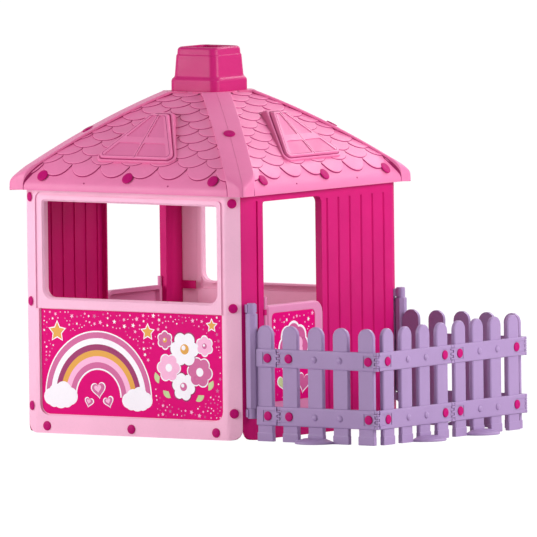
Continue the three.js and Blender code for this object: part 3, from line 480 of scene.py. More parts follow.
def roof_levels():
    """Rows from the rim to the crown and down its shaft: an eave stop's values and the field's half width."""
    levels = [(RIM_IN, z, RIM_IN, z, RIM_CUT, RIM_BOW, RIM_HALF) for z in (RIM_Z, EAVE_FOOT)]
    levels += [(*stop, stop[0] - HIP_W) for stop in EAVE_CURVE]
    on_slope = [SLOPE_H0 - SLOPE_STEP * k for k in range(SLOPE_ROWS)]
    on_slope += [ARCH_FOOT - ARCH_STEP * k for k in range(1, ARCH_ROWS + 1)]
    levels += [(h, slope_z(h), *cap_level(h), field_half(h)) for h in on_slope]
    lip = CROWN_Z + CROWN_LIP
    for h, z in ((116.2, CROWN_Z - 1.1), (113.5, lip - 1), (111, lip)):
        levels.append((h, z, *cap_level(h - CAP_OUT), CROWN_HALF))
    for h, z, corner in ((CROWN, lip, CROWN_CUT), (CROWN, CROWN_Z, CROWN_CUT),
                         (SHAFT, CROWN_Z, SHAFT_CUT), (SHAFT, SHAFT_Z, SHAFT_CUT)):
        levels.append((h, z, h, z, corner, CROWN_BOW, CROWN_HALF))
    return levels


def cap_corner(out, corner, bow):
    """Bowed end of a cap in plan, from the hip, where it stands back by the seam, as (x, distance out)."""
    points = []
    for k in (2, 2.5, 3, 3.5, 4):
        push = bow * k * (4 - k) / 4 / math.sqrt(2)
        points.append((out - corner * k / 4 + push, out - corner * (4 - k) / 4 + push))
    x, y = points[0]
    points[0] = (x - 0.7 * SEAM, y + 0.7 * SEAM)
    return points


SEAM_DEPTH = 2.5
# Edge of a cap: offset along x from the field's edge, and share of the way down to the field
CAP_EDGE = ((2.8, 0), (1.0, 0.06), (0.2, 0.2), (0, 0.5), (-0.2, 1), (-3.4, 1))
# Painted shade goes on these faces of each row
DARK_EDGE = (9, 10)  # faces of a row, lower half of that edge and the strip of field beside it
FIRST_DARK_ROW = 3
# Inner side of the eave: distance out, height and cut of the corner; then its rows along the slope
INNER_EAVE = [(RIM_IN, RIM_Z, 4), (511, RIM_Z, 4), (511, 878, 4), (507, 892, 5), (499, 905.5, 18),
              (487, 919, 28)]
INNER_ROWS = (480, 440, 400, 360, 320, 280, 240, 200, 160, 130)
ROOF_SKIN, INNER_CUT, INNER_SEAM = 8.0, 30.0, 0.4


def roof_shell(bm):
    """Eave, caps of the hips and the bed of the scallops, each row of points from hip to hip."""
    levels = roof_levels()
    arch = len(levels) - 1 - CROWN_ROWS
    made = []
    for h, z, out, top, corner, bow, half in levels:
        caps = cap_corner(out, corner, bow)
        row = [(*caps[0], top - SEAM_DEPTH)] + [(x, y, top) for x, y in caps]
        row += [(half + dx, out + (h - out) * down, top + (z - top) * down) for dx, down in CAP_EDGE]
        row.append((half * 0.5, h, z))
        left = [(-x, -y, up) for x, y, up in row]
        made.append(add_ring(bm, left + [(-x, y, up) for x, y, up in left[::-1]]))
    for i, (a, b) in enumerate(zip(made, made[1:])):
        faces = bridge(bm, a, b, False)
        # Painted shade on the lower half of each cap's edge, the field beside it and the top row of the arch
        if FIRST_DARK_ROW <= i < arch:
            for k in DARK_EDGE:
                faces[k].material_index = faces[-1 - k].material_index = 1
        if i == arch:
            for face in faces[DARK_EDGE[0]:-DARK_EDGE[0]]:
                face.material_index = 1
    inner = INNER_EAVE + [(h - ROOF_SKIN * math.sin(TILT), slope_z(h) - ROOF_SKIN * math.cos(TILT), INNER_CUT)
                          for h in INNER_ROWS] + [(SHAFT, SHAFT_Z, SHAFT_CUT)]
    rows = []
    for h, z, corner in inner:
        middle = h - corner / 2
        left = [(INNER_SEAM - middle, -middle - INNER_SEAM, z), (corner - h, -h, z)]
        rows.append(add_ring(bm, left + [(-x, y, z) for x, y, z in left[::-1]]))
    for a, b in zip(rows, rows[1:]):
        bridge(bm, a, b, False)


# Scallop's width, distance of rows, hang of a lip, thickness, number of rows and start of the first
SHINGLE_W, PITCH, DROP, SHINGLE_T, ROWS, SHINGLE_V0 = 127.0, 39.3, 44.0, 7.6, 12, -23.0
SHINGLE_STEPS, SHINGLE_RUN_OUT, SHINGLE_TUCK, BELOW_CROWN = 16, 8, 4, 14
# Reach under a cap; scallops that far past the field, and lips that near the row's end, are left out
UNDER_CAP, OUT_OF_SIGHT, LAST_BIT = 2.5, 2, 6
CREASE = ((1.7, 0.05), (1.4, 0.5))  # in front of a lip: distance and height over the row below
LIP = ((-0.1, 2.6), (0.0, 1.6), (0.5, 0.7), (1.6, 0.2), (3.4, 0.0))  # distance in, and depth below the top
# Painted shade: the crease and the side of each lip take the darker roof material
DARK_STEPS = 3  # steps from the crease up to the side of the lip
BACK_PARTS = (0.35, 0.7, 1)  # rows of points behind the lip, as shares of the way to the scallop's end


def shingle_edge(x0, v0):
    """Lip of a scallop that starts at x0 and hangs down to v0, as (x, v) with the direction outwards."""
    edge = []
    for k in range(SHINGLE_STEPS + 1):
        t = -math.cos(math.pi * k / SHINGLE_STEPS)
        lift = math.sqrt(max(0.0, 1 - t * t))
        away = Vector((2 * t / SHINGLE_W, -max(0.01, lift) / DROP)).normalized()
        edge.append((x0 + (t + 1) / 2 * SHINGLE_W, v0 + DROP * (1 - lift), away.x, away.y))
    return edge


def scallops(bm, x0):
    """Rows of scallops, each a wedge with a rounded lip; its edge and the crease under it carry painted
    shade.
    """
    reach = PITCH + DROP + SHINGLE_RUN_OUT
    for row in range(ROWS):
        v0 = SHINGLE_V0 + row * PITCH
        v1 = min(v0 + PITCH + DROP + SHINGLE_TUCK, SLOPE_LENGTH - BELOW_CROWN)
        offset = x0 + (row % 2) * SHINGLE_W / 2

        def level(v):
            return SHINGLE_T * (1 - (v - v0) / reach)

        def below(v):
            return max(0.0, SHINGLE_T * (1 - (v + PITCH - v0) / reach)) if row else 0.0

        def spot(x, v, n):
            limit = field_half(hip_at(v)) + UNDER_CAP
            return on_field(max(-limit, min(limit, x)), v, n)

        half = hip_at(v0) - HIP_W
        for i in range(math.floor((-half - offset) / SHINGLE_W), math.ceil((half - offset) / SHINGLE_W)):
            edge = [e for e in shingle_edge(offset + i * SHINGLE_W, v0) if e[1] < v1 - LAST_BIT]
            if all(abs(x) > field_half(hip_at(v)) + OUT_OF_SIGHT for x, v, _, _ in edge):
                continue
            rings = [[spot(x + nx * away, v + nv * away, below(v) + up) for x, v, nx, nv in edge]
                     for away, up in CREASE]
            rings += [[spot(x - nx * inset, v - nv * inset, level(v) - drop) for x, v, nx, nv in edge]
                      for inset, drop in LIP]
            behind = LIP[-1][0]
            rings += [[spot(x, v + behind + max(1, v1 - v - behind) * part, level(v + (v1 - v) * part))
                       for x, v, _, _ in edge] for part in BACK_PARTS]
            made = [add_ring(bm, ring) for ring in rings]
            for j, (a, b) in enumerate(zip(made, made[1:])):
                bridge(bm, a, b, False, 1 if j < DARK_STEPS else 0)
    bmesh.ops.dissolve_degenerate(bm, dist=0.01, edges=bm.edges)


# Skylight, in the slope's own frame. Foot and face: half width below and above, both ends, corner's radius
SKY_BASE = dict(x0=174, x1=12, v0=46, v1=330, r=24)
SKY_FACE = dict(x0=170, x1=38, v0=42, v1=268, r=20)
SKY_LOW, SKY_RISE = 38, 30.0  # height of the face's lower end, and how much more at its upper end
# From foot to face: share of the way up, and inset from the outline; then which of these steps are creases,
# which get painted shade
SKY_PROFILE = ((-0.08, -4), (0.7, -4), (0.74, -3.4), (0.765, -2), (0.77, 1.5), (0.775, 4.6), (0.8, 5.4),
               (0.93, 5.6), (0.97, 6.2), (0.99, 7.6), (1, 9.4), (1, 12.6), (0.985, 13.4), (1, 14.2))
SKY_CREASES = (4, 5, 11, 12)
SKY_LEAN = (SKY_FACE["x0"] - SKY_FACE["x1"]) / (SKY_FACE["v1"] - SKY_FACE["v0"])
SKY_PANES = ((57, 119), (147, 252))
SKY_FRAME, SKY_BAR, PANE_R = 24, 7, 7  # frame beside a pane, half of the middle bar, corners of a pane
PANE_STEPS = ((-2.6, 0), (-1.2, 0), (9, 1.5))  # heights over the face, and growth of the pane's outline
GROOVE_HALF, GROOVE_ENDS, GROOVE_LEVELS = 0.9, (44, 262), (-1.6, 6)


def sky_outline(s, inset):
    """Outline at an inset; its factors keep the rim's width even on the leaning sides."""
    lean = math.atan2(s["x0"] - s["x1"], s["v1"] - s["v0"])
    half0 = s["x0"] - inset * (1 + math.sin(lean))
    half1 = max(s["x1"] - inset * 0.45, 3)
    low, high = s["v0"] + inset, s["v1"] - inset * 1.3
    bend = max(s["r"] - inset * 0.6, 5)
    out = math.degrees(lean)
    near = max(half1 - bend * 0.4, 1)
    far = half0 - bend * 1.3
    corners = ((-far, low + bend, 180 - out, 270), (far, low + bend, 270, 360 + out),
               (near, high - bend, out, 90), (-near, high - bend, 90, 180 - out))
    return [p for x, y, start, end in corners for p in arc(x, y, bend, start, end, 8)]


def sky_level(v):
    """Height of the skylight's face over the straight slope."""
    return SKY_LOW + (v - SKY_FACE["v0"]) * (SKY_RISE / (SKY_FACE["v1"] - SKY_FACE["v0"]))


def sky_ring(part, inset):
    """Ring between foot and face."""
    return [(fx + (x - fx) * part, fv + (v - fv) * part, sky_level(v) * part)
            for (fx, fv), (x, v) in zip(sky_outline(SKY_BASE, inset), sky_outline(SKY_FACE, inset))]


def pane_side(v):
    return SKY_FACE["x0"] - SKY_FRAME - (v - SKY_FACE["v0"]) * SKY_LEAN


def cut(body, tools, materials, name):
    """Mesh of the body without the tools; the cut faces take the tool's material."""
    made = []
    for label, bm in (("a", body), ("b", tools)):
        bmesh.ops.recalc_face_normals(bm, faces=bm.faces)
        made.append(object_of(name + label, bm, materials))
    mod = made[0].modifiers.new("cut", "BOOLEAN")
    mod.operation = "DIFFERENCE"
    mod.solver = "EXACT"
    mod.object = made[1]
    mesh = shaped_mesh(made[0])
    for ob in made:
        bpy.data.objects.remove(ob)
    return mesh


def skylight():
    """Stepped rim round four sunk panes, with a groove down the middle bar; the creases and the groove carry
    painted shade.
    """
    body = bmesh.new()
    made = [add_ring(body, sky_ring(part, inset)) for part, inset in SKY_PROFILE]
    for k, (a, b) in enumerate(zip(made, made[1:])):
        bridge(body, a, b, True, 2 if k in SKY_CREASES else 0)
    for ring in (made[0], made[-1]):
        body.faces.new(ring)
    tools = bmesh.new()
    for v0, v1 in SKY_PANES:
        for sign in (-1, 1):
            corners = ((SKY_BAR, v0), (pane_side(v0), v0), (pane_side(v1), v1), (SKY_BAR, v1))
            points = soft_corners([(sign * x, v) for x, v in corners], PANE_R)
            rings = [[(x, v, sky_level(v) + up) for x, v in grow(points, more)] for up, more in PANE_STEPS]
            loft(tools, rings, index=1)
    low, high = GROOVE_ENDS
    groove = ((-GROOVE_HALF, low), (GROOVE_HALF, low), (GROOVE_HALF, high), (-GROOVE_HALF, high))
    # The groove's cut faces take painted shade
    loft(tools, [[(x, v, sky_level(v) + up) for x, v in groove] for up in GROOVE_LEVELS], index=2)
    return cut(body, tools, [ROOF, PANE, ROOF_PAINTED_SHADE], "sky")


SKY_MESH = skylight()
EAVE_PLUG_R, EAVE_PLUG_X, EAVE_PLUG_H, EAVE_PLUG_Z, EAVE_PLUG_ALONG = 22.0, 375, 502.5, 922.5, (0, -1, 0.75)
HIP_PLUG_R, HIP_PLUG_H, HIP_PLUG_Z = 21.0, 313.0, 1079.6
# Dots on the eave: small bumps in the painted shade colour, standing for the shade inside tiny holes
DOT = [(3.4, -1.0), (3.4, 0.5), (2.4, 1.1), (0, 1.2)]
DOT_X, DOT_H, DOT_Z, DOT_ALONG = (-185, 185), 514.0, 900.0, (0, -3, 1)
SHINGLE_START = (-13, 22)  # first scallop of front and back, and of right and left
for q, side in enumerate(("front", "right", "back", "left")):
    place = to_frame(quarter(q))
    node = f"roof_{side}"
    bm = bmesh.new()
    roof_shell(bm)
    finish_mesh(f"{node}_shell", bm, place, [ROOF, ROOF_PAINTED_SHADE], "house", [node], sharp=50)
    bm = bmesh.new()
    scallops(bm, SHINGLE_START[q % 2])
    finish_mesh(f"{node}_scallops", bm, place, [ROOF, ROOF_PAINTED_SHADE], "house", [node], sharp=60)
    bm = bmesh.new()
    bm.from_mesh(SKY_MESH)
    materials = [ROOF, PANE, ROOF_PAINTED_SHADE]
    finish_mesh(f"{node}_skylight", bm, place @ SLOPE, materials, "house", [node], sharp=40)
    bm = bmesh.new()
    for x in DOT_X:
        lathe(bm, DOT, aim((x, -DOT_H, DOT_Z), DOT_ALONG), 12)
    finish_mesh(f"{node}_dots", bm, place, [ROOF_PAINTED_SHADE], "house", [node])
    for i in (1, 2, 3):
        at = ((i - 2) * EAVE_PLUG_X, -EAVE_PLUG_H, EAVE_PLUG_Z)
        house_plug(f"eave_plug_{side}_{i}", EAVE_PLUG_R, at, EAVE_PLUG_ALONG, q)
    house_plug(f"hip_plug_{side}", HIP_PLUG_R, (HIP_PLUG_H, -HIP_PLUG_H, HIP_PLUG_Z), (RISE, -RISE, 2), q)

# Chimney: half width, corner radius and height of each ring, up the outside and down the inside
CHIMNEY_Z, CHIMNEY_STEPS = 1207.9, 10
CHIMNEY_RINGS = (
    (105.5, 30, 0), (105.5, 30, 38), (105, 30, 42), (103, 29.6, 47), (100, 29.2, 50.5), (98, 29, 53),
    (96.6, 29, 57), (96, 29, 62), (91.6, 28, 129), (91, 27.8, 131), (89.8, 27.4, 132.5), (88.8, 27, 134),
    (87.6, 27, 150), (86.2, 26.4, 154.6), (83.6, 25.5, 158), (80, 25, 160.4), (77, 24.4, 161),
    (72.5, 23.4, 161), (71, 23, 159.6), (71.4, 23, 152), (84, 26, 60), (93, 26, 40), (96, 27, 0),
)
bm = bmesh.new()
loops = loft(bm, [[(x, y, CHIMNEY_Z + z) for x, y in rounded(-half, half, -half, half, r, CHIMNEY_STEPS)]
                  for half, r, z in CHIMNEY_RINGS], caps=False)
bridge(bm, loops[-1], loops[0])
finish_mesh("chimney_skin", bm, to_frame(), [CHIMNEY], "house", ["chimney"], sharp=60)

# Fence: axes of posts, runs and hinges; a run's own frame has x along it and its outer face towards -y
POST_X, POST_Y, RUN_Y, RUN_X = 505.0, 458.0, 450.0, 1042.0
TURN_X, TURN_Y, SPLIT_X, PICKET_PITCH = 1048.0, 456.0, 621.0, 110.0
PICKET_HALF, PICKET_TOP, PICKET_FOOT, PICKET_Y = 33.5, 413, 2, 8
# Rings of a picket from its outer to its inner face as (y, inset), and of its sleeve as (extra width, height)
PICKET_RINGS = ((-8, 4.2), (-7.7, 3.4), (-4.6, 0.5), (-4, 0.1), (-3.2, 0), (6.6, 0), (7.6, 0.4), (8, 1.4))
SLEEVE_RINGS = ((0.6, 0), (1.1, 1), (1.1, 28), (0.7, 29.6), (0.1, 31))
RAILS = ((57.0, 125.0), (264.0, 330.0))
RAIL_OUT, RAIL_T, RAIL_R = 13.0, 11.0, 4.0
SUNK, SUNK_HALF, SUNK_SLOPE, SUNK_END = 2.4, 20, 0.6, 0.3  # pocket round a hinge plug in the outer face
POCKET_PAST, NUDGE = 5, 0.6  # a pocket runs on past the rail's end; a ring at that end counts as inside it
AXIS_Y, KNUCKLE_R = -6.0, 6.9
KNUCKLE_STACK, KNUCKLES, KNUCKLE_GAP = 42.0, 5, 1.3
KNUCKLE_EASE = ((0, 0.9), (0.3, 0.3), (0.9, 0))  # height over its foot and inset, the same at its top
ARM_END, ARM_FRONT, ARM_BACK = 3, -RAIL_OUT + SUNK - 0.6, AXIS_Y + 4
OUTER, INNER = (0, 2, 4), (1, 3)  # knuckles of either side of a hinge, counted from below
STUD = [(12.2, -1), (12.2, 0.6), (11.6, 2), (10.2, 3.6), (7.8, 5), (4.4, 5.8), (0, 6.1)]
HINGE_PLUG_R, HINGE_PLUG_SUNK = 16.5, 0.3
PAD = ((74.5, 0), (76, 1.5), (76, 6), (75, 8), (72.5, 9.4), (62, 12.6), (52, 15.4), (46, 17.4), (42, 18))
# Post: number of sides, then radius and height of its rings; the web that joins it to the rails
POST_PARTS = ((8, ((20, 117), (22, 118.5), (22, 451), (20, 453))), (24, ((14.6, 79), (16, 80.5), (16, 118))),
              (24, ((16, 452), (16, 486.5), (15.4, 488.6), (13.6, 490))))
POST_R = 22
WEB_X, WEB_HALF, WEB_LEVELS = (8, 35), 6, ((1, 117), (0, 118.5), (0, 383), (1, 385))


def picket(bm, x):
    """Bar with a round top and a bevelled outer face, in a sleeve that is a little wider."""
    rings = []
    for y, inset in PICKET_RINGS:
        r = PICKET_HALF - inset
        top = arc(x, PICKET_TOP - PICKET_HALF, r, 0, 180, 16)
        rings.append([(u, y, z) for u, z in [(x - r, PICKET_FOOT), (x + r, PICKET_FOOT)] + top])
    loft(bm, rings)
    sleeve = []
    for extra, z in SLEEVE_RINGS:
        wide, deep = PICKET_HALF + extra, PICKET_Y + extra
        sleeve.append([(a, b, z) for a, b in rounded(x - wide, x + wide, -deep, deep, 3, 3)])
    loft(bm, sleeve)


def rail_section(z0, z1, sunk):
    """Rail's cross section as (y, z); sunk takes the middle of its outer face inwards."""
    out, mid, back, r = -RAIL_OUT, (z0 + z1) / 2, RAIL_T - RAIL_OUT, RAIL_R
    turns = [math.radians(a) for a in (90, 60, 30, 0)]
    low = [(out + r - r * math.cos(a), z0 + r - r * math.sin(a)) for a in turns]
    high = [(y, z0 + z1 - z) for y, z in low[::-1]]
    edge, bottom = SUNK_HALF + SUNK_SLOPE, out + sunk
    step = [(out, mid - edge), (bottom, mid - SUNK_HALF), (bottom, mid + SUNK_HALF), (out, mid + edge)]
    return [(back, z0)] + low + step + high + [(back, z1)]


def rail(bm, x0, x1, z0, z1, pockets):
    """Bar along x; pockets are stretches whose outer face is sunk round the hinge plugs."""
    stops = [x0]
    for a, b in sorted(pockets):
        if a > x0:
            stops += [a - SUNK_END, a + SUNK_END]
        if b < x1:
            stops += [b - SUNK_END, b + SUNK_END]
    stops.append(x1)
    rings = []
    for x in stops:
        near = min(max(x, x0 + NUDGE), x1 - NUDGE)
        sunk = SUNK if any(a < near < b for a, b in pockets) else 0.0
        rings.append([(x, y, z) for y, z in rail_section(z0, z1, sunk)])
    loft(bm, rings)


def knuckle(bm, z, h, stop, mirror, length):
    """Ring round the hinge axis with its arm to the rail; mirror puts it at the run's far end."""
    rings = []
    for dz, inset in KNUCKLE_EASE + tuple((h - dz, inset) for dz, inset in KNUCKLE_EASE[::-1]):
        outline = arc(0, AXIS_Y, KNUCKLE_R - inset, 60, 300, 12)
        outline += [(stop + ARM_END, ARM_FRONT + inset), (stop + ARM_END, ARM_BACK - inset)]
        rings.append([(length - x if mirror else x, y, z + dz) for x, y in outline])
    loft(bm, rings)


def fence_run(bm, plugs, length, pickets, ends, studs, pad_at):
    """Straight piece in its own frame; each end is None or (plug's reach, rail's stop, own knuckles)."""
    for x in pickets:
        picket(bm, x)
    x0 = ends[0][1] if ends[0] else 0
    x1 = length - (ends[1][1] if ends[1] else 0)
    pockets = []
    if ends[0]:
        pockets.append((x0 - POCKET_PAST, ends[0][0] + SUNK_HALF))
    if ends[1]:
        pockets.append((length - ends[1][0] - SUNK_HALF, x1 + POCKET_PAST))
    h = (KNUCKLE_STACK - (KNUCKLES - 1) * KNUCKLE_GAP) / KNUCKLES
    for z0, z1 in RAILS:
        mid = (z0 + z1) / 2
        rail(bm, x0, x1, z0, z1, pockets)
        for x in studs:
            lathe(bm, STUD, aim((x, -RAIL_OUT, mid), (0, -1, 0)), 24)
        for far, end in enumerate(ends):
            if not end:
                continue
            reach, stop, own = end
            at = (length - reach if far else reach, -RAIL_OUT + SUNK - HINGE_PLUG_SUNK, mid)
            lathe(plugs, plug_profile(HINGE_PLUG_R), aim(at, (0, -1, 0)), 28)
            for k in own:
                knuckle(bm, mid - KNUCKLE_STACK / 2 + k * (h + KNUCKLE_GAP), h, stop, far, length)
            if own == OUTER:
                spare = (z1 - z0 - KNUCKLE_STACK) / 2 - KNUCKLE_GAP
                knuckle(bm, z0, spare, stop, far, length)
                knuckle(bm, z1 - spare, spare, stop, far, length)
    if pad_at:
        foot_pad(bm, pad_at)


def foot_pad(bm, x):
    """Half-round foot with a low rim and a soft mound."""
    loft(bm, [[(a, b, z) for a, b in arc(x, AXIS_Y, r, 180, 360, 20)] for r, z in PAD])


def post(bm):
    """Eight-sided pole with narrower round ends, and its web."""
    for sides, profile in POST_PARTS:
        turns = [math.pi / sides + 2 * math.pi * k / sides for k in range(sides)]
        loft(bm, [[(POST_X + r * math.cos(a), -POST_Y + r * math.sin(a), z) for a in turns]
                  for r, z in profile])
    web = []
    for inset, z in WEB_LEVELS:
        half = WEB_HALF - inset
        outline = rounded(POST_X + WEB_X[0], POST_X + WEB_X[1], -RUN_Y - half, -RUN_Y + half, 2, 2)
        web.append([(x, y, z) for x, y in outline])
    loft(bm, web)


SIDE_PICKETS = [49.0 + i * PICKET_PITCH for i in range(4)]
FACE_PICKETS = [71.0 + i * PICKET_PITCH for i in range(4)]
for half, mirror in (("front", AS_IS), ("back", Matrix.Scale(-1, 4, (0, 1, 0)))):
    middle = INNER if half == "front" else OUTER
    along_face = Matrix.Translation((RUN_X, -TURN_Y, 0)) @ Matrix.Rotation(math.pi / 2, 4, "Z")
    # Part, place, length, pickets, ends, studs and place of the foot pad
    runs = (
        ("end", Matrix.Translation((POST_X + POST_R, -RUN_Y, 0)), SPLIT_X - POST_X - POST_R, [33.0],
         [None, (46, 9, INNER)], (), None),
        ("side", Matrix.Translation((SPLIT_X, -RUN_Y, 0)), TURN_X - SPLIT_X, SIDE_PICKETS,
         [(46, 9, OUTER), (34, 9, OUTER)], SIDE_PICKETS[1:3], SIDE_PICKETS[1]),
        ("face", along_face, TURN_Y, FACE_PICKETS,
         [(59, 9, INNER), (46, 11.2, middle)], FACE_PICKETS[1:3], FACE_PICKETS[2]),
    )
    for part, place, length, pickets, ends, studs, pad_at in runs:
        node = f"fence_{part}_{half}"
        bm, plugs = bmesh.new(), bmesh.new()
        fence_run(bm, plugs, length, pickets, ends, studs, pad_at)
        bmesh.ops.remove_doubles(bm, verts=bm.verts, dist=1e-4)
        if part == "end":
            bmesh.ops.transform(bm, matrix=place, verts=bm.verts)
            post(bm)
            bmesh.ops.transform(bm, matrix=place.inverted(), verts=bm.verts)
        at = to_frame(mirror @ place)
        finish_mesh(node + "_skin", bm, at, [LILAC], BODY_OF[node], [node], sharp=40)
        finish_mesh(node + "_plugs", plugs, at, [PLUG], BODY_OF[node], ())
    dressed(f"post_clips_{half}", LILAC, bevel=1.0)
    for kind in ("split", "corner"):
        for level in ("low", "high"):
            dressed(f"{kind}_pin_{half}_{level}", PIN, bevel=0.5)

# Prints: film with thin layers of ink. A motif's depth counts the layers under it; SLIP is the part of a
# layer between shapes of one ink that overlap.
LAYER, SLIP = 0.14, 0.3


def flat(bm, points, matrix, depth, ink):
    """Thin slip of ink; its outline is in the print's own plane."""
    foot, top = [add_ring(bm, [matrix @ Vector((x, y, z)) for x, z in points]) for y in (0, -(depth * LAYER))]
    bridge(bm, foot, top, True, ink)
    bm.faces.new(top).material_index = ink


def circle(x, z, r, n=28):
    return arc(x, z, r, 0, 360, n)[:-1]


def bow(x, z, r0, r1, start=0.0, end=180.0, n=36):
    """Band between two radii."""
    return arc(x, z, r1, start, end, n) + arc(x, z, r0, end, start, n)


def star(x, z, r, waist=0.45, turn=90.0):
    """Star of five points; waist is the share of r at its inner corners."""
    points = []
    for k in range(10):
        a = math.radians(turn + 36 * k)
        reach = r if k % 2 == 0 else r * waist
        points.append((x + reach * math.cos(a), z + reach * math.sin(a)))
    return points


def heart(x, z, r, turn=0.0):
    """Heart from the usual sum of sines and cosines, about r from middle to tip."""
    a = math.radians(turn)
    points = []
    for k in range(36):
        t = 2 * math.pi * k / 36
        u = 16 * math.sin(t) ** 3 / 17
        w = (13 * math.cos(t) - 5 * math.cos(2 * t) - 2 * math.cos(3 * t) - math.cos(4 * t)) / 17
        across, up = u * math.cos(a) - w * math.sin(a), u * math.sin(a) + w * math.cos(a)
        points.append((x + r * across, z + r * up))
    return points


PETAL_RING, DISC = 0.58, 1.02  # middles of the petals by the flower's size, and the disc by that ring


def flower(bm, matrix, x, z, r, depth, ink, petals=6, turn=0.0):
    """Round petals about a disc, each petal a hair above the last one."""
    ring = r * PETAL_RING
    for k in range(petals):
        a = turn + 2 * math.pi * k / petals
        petal = circle(x + ring * math.cos(a), z + ring * math.sin(a), r - ring, 24)
        flat(bm, petal, matrix, depth + SLIP * k, ink)
    flat(bm, circle(x, z, ring * DISC), matrix, depth + SLIP * petals, ink)


PUFFS = ((-46, 0, 26), (-20, 14, 30), (14, 20, 34), (46, 4, 28), (0, -4, 34), (28, -8, 26), (-30, -10, 24))
RIM, OVER_RIM = 5, 2.2  # white rim round a motif, and how many layers the motif lies above it


def cloud(bm, matrix, x, z, size, depth):
    """Round puffs with a rim, and the same puffs once more on top."""
    for rim, level in ((RIM, depth), (0, depth + OVER_RIM)):
        for i, (dx, dz, r) in enumerate(PUFFS):
            puff = circle(x + dx * size, z + dz * size, r * size + rim, 26)
            flat(bm, puff, matrix, level + SLIP * i, WHITE)


STAR_SIZES, STAR_INKS = (1.8, 2.4, 3.0, 4.2, 5.4, 7.2, 9.0), (WHITE, BLUSH, BLUSH, ROSE)
STAR_FROM, STAR_GAP, TRIES_EACH = 4, 6, 30  # size from which a dot is a star, air between two of them


def night_sky(bm, matrix, taken, half_x, half_z, count, seed):
    """Scattered stars and dots that keep clear of the motifs, each taken as (x, z, radius)."""
    pick = random.Random(seed)
    placed = []
    tries = 0
    while len(placed) < count and tries < count * TRIES_EACH:
        tries += 1
        x, z = pick.uniform(-half_x, half_x), pick.uniform(-half_z, half_z)
        r = pick.choice(STAR_SIZES)
        if any(math.hypot(x - a, z - b) < c + r for a, b, c in taken):
            continue
        if any(math.hypot(x - a, z - b) < STAR_GAP + c + r for a, b, c in placed):
            continue
        placed.append((x, z, r))
        ink = pick.choice(STAR_INKS)
        outline = circle(x, z, r, 10) if r < STAR_FROM else star(x, z, r, turn=pick.uniform(0, 72))
        flat(bm, outline, matrix, 1, ink)


# Picture on a wall panel, in millimetres from its middle
RAINBOW_AT, RAINBOW_R, BAND, RAINBOW_RIM, RAINBOW_CLEAR = (-150, -120), 102, 21.5, (96, 236), 252
RAINBOW_INKS = (ROSE, BLUSH, GOLD, DEEP, WHITE, ROSE)
CLOUD_SPOTS = ((-168, -6, 0.95, 86), (170, -10, 0.85, 80))  # from the rainbow's middle, size, room kept clear
HEARTS = ((0, 26, 30, 8), (-42, -20, 17, -14), (44, -16, 20, 18))  # from the rainbow's middle, size, turn
BUNCH_X, BUNCH_CLEAR = 232, ((0, 0, 150), (-86, 92, 40), (88, 76, 44))
# Flowers: place, radius, ink and the eye's ink
BUNCH = ((0, 62, 62, WHITE, GOLD), (-70, -6, 48, BLUSH, WHITE), (66, -18, 52, ROSE, WHITE),
         (-6, -72, 50, WHITE, ROSE), (-86, 92, 30, ROSE, GOLD), (88, 76, 34, BLUSH, ROSE))
BUNCH_TURN, BUNCH_STEP = 0.03, 0.01  # turn of a flower and layers under it, by its distance off the middle
HEART_GLINT, FLOWER_GLINT = (0.1, 0.12, 0.55), (0.07, 0.08, 0.14)  # left, up and radius, by the motif's size
FLOWER_EYE, EYE_LAYER, GLINT_LAYER = 0.3, 4.8, 5.8
LEAVES, LEAF_REACH, LEAF_R = (200, 232, 300, 330), (118, 115.2), (0.5, 24)  # directions, reach, radii
BIG_STARS = ((-330, 108, 34, 44), (70, 118, 26, 34), (352, 150, 20, 30))  # place, size, room kept clear
BIG_STAR_LAYERS = ((7, 0.52, 2, WHITE), (0, 0.5, 3, GOLD))  # growth, waist, depth and ink
PANEL_SKY = dict(half_x=390, half_z=180, count=260, seed=4)


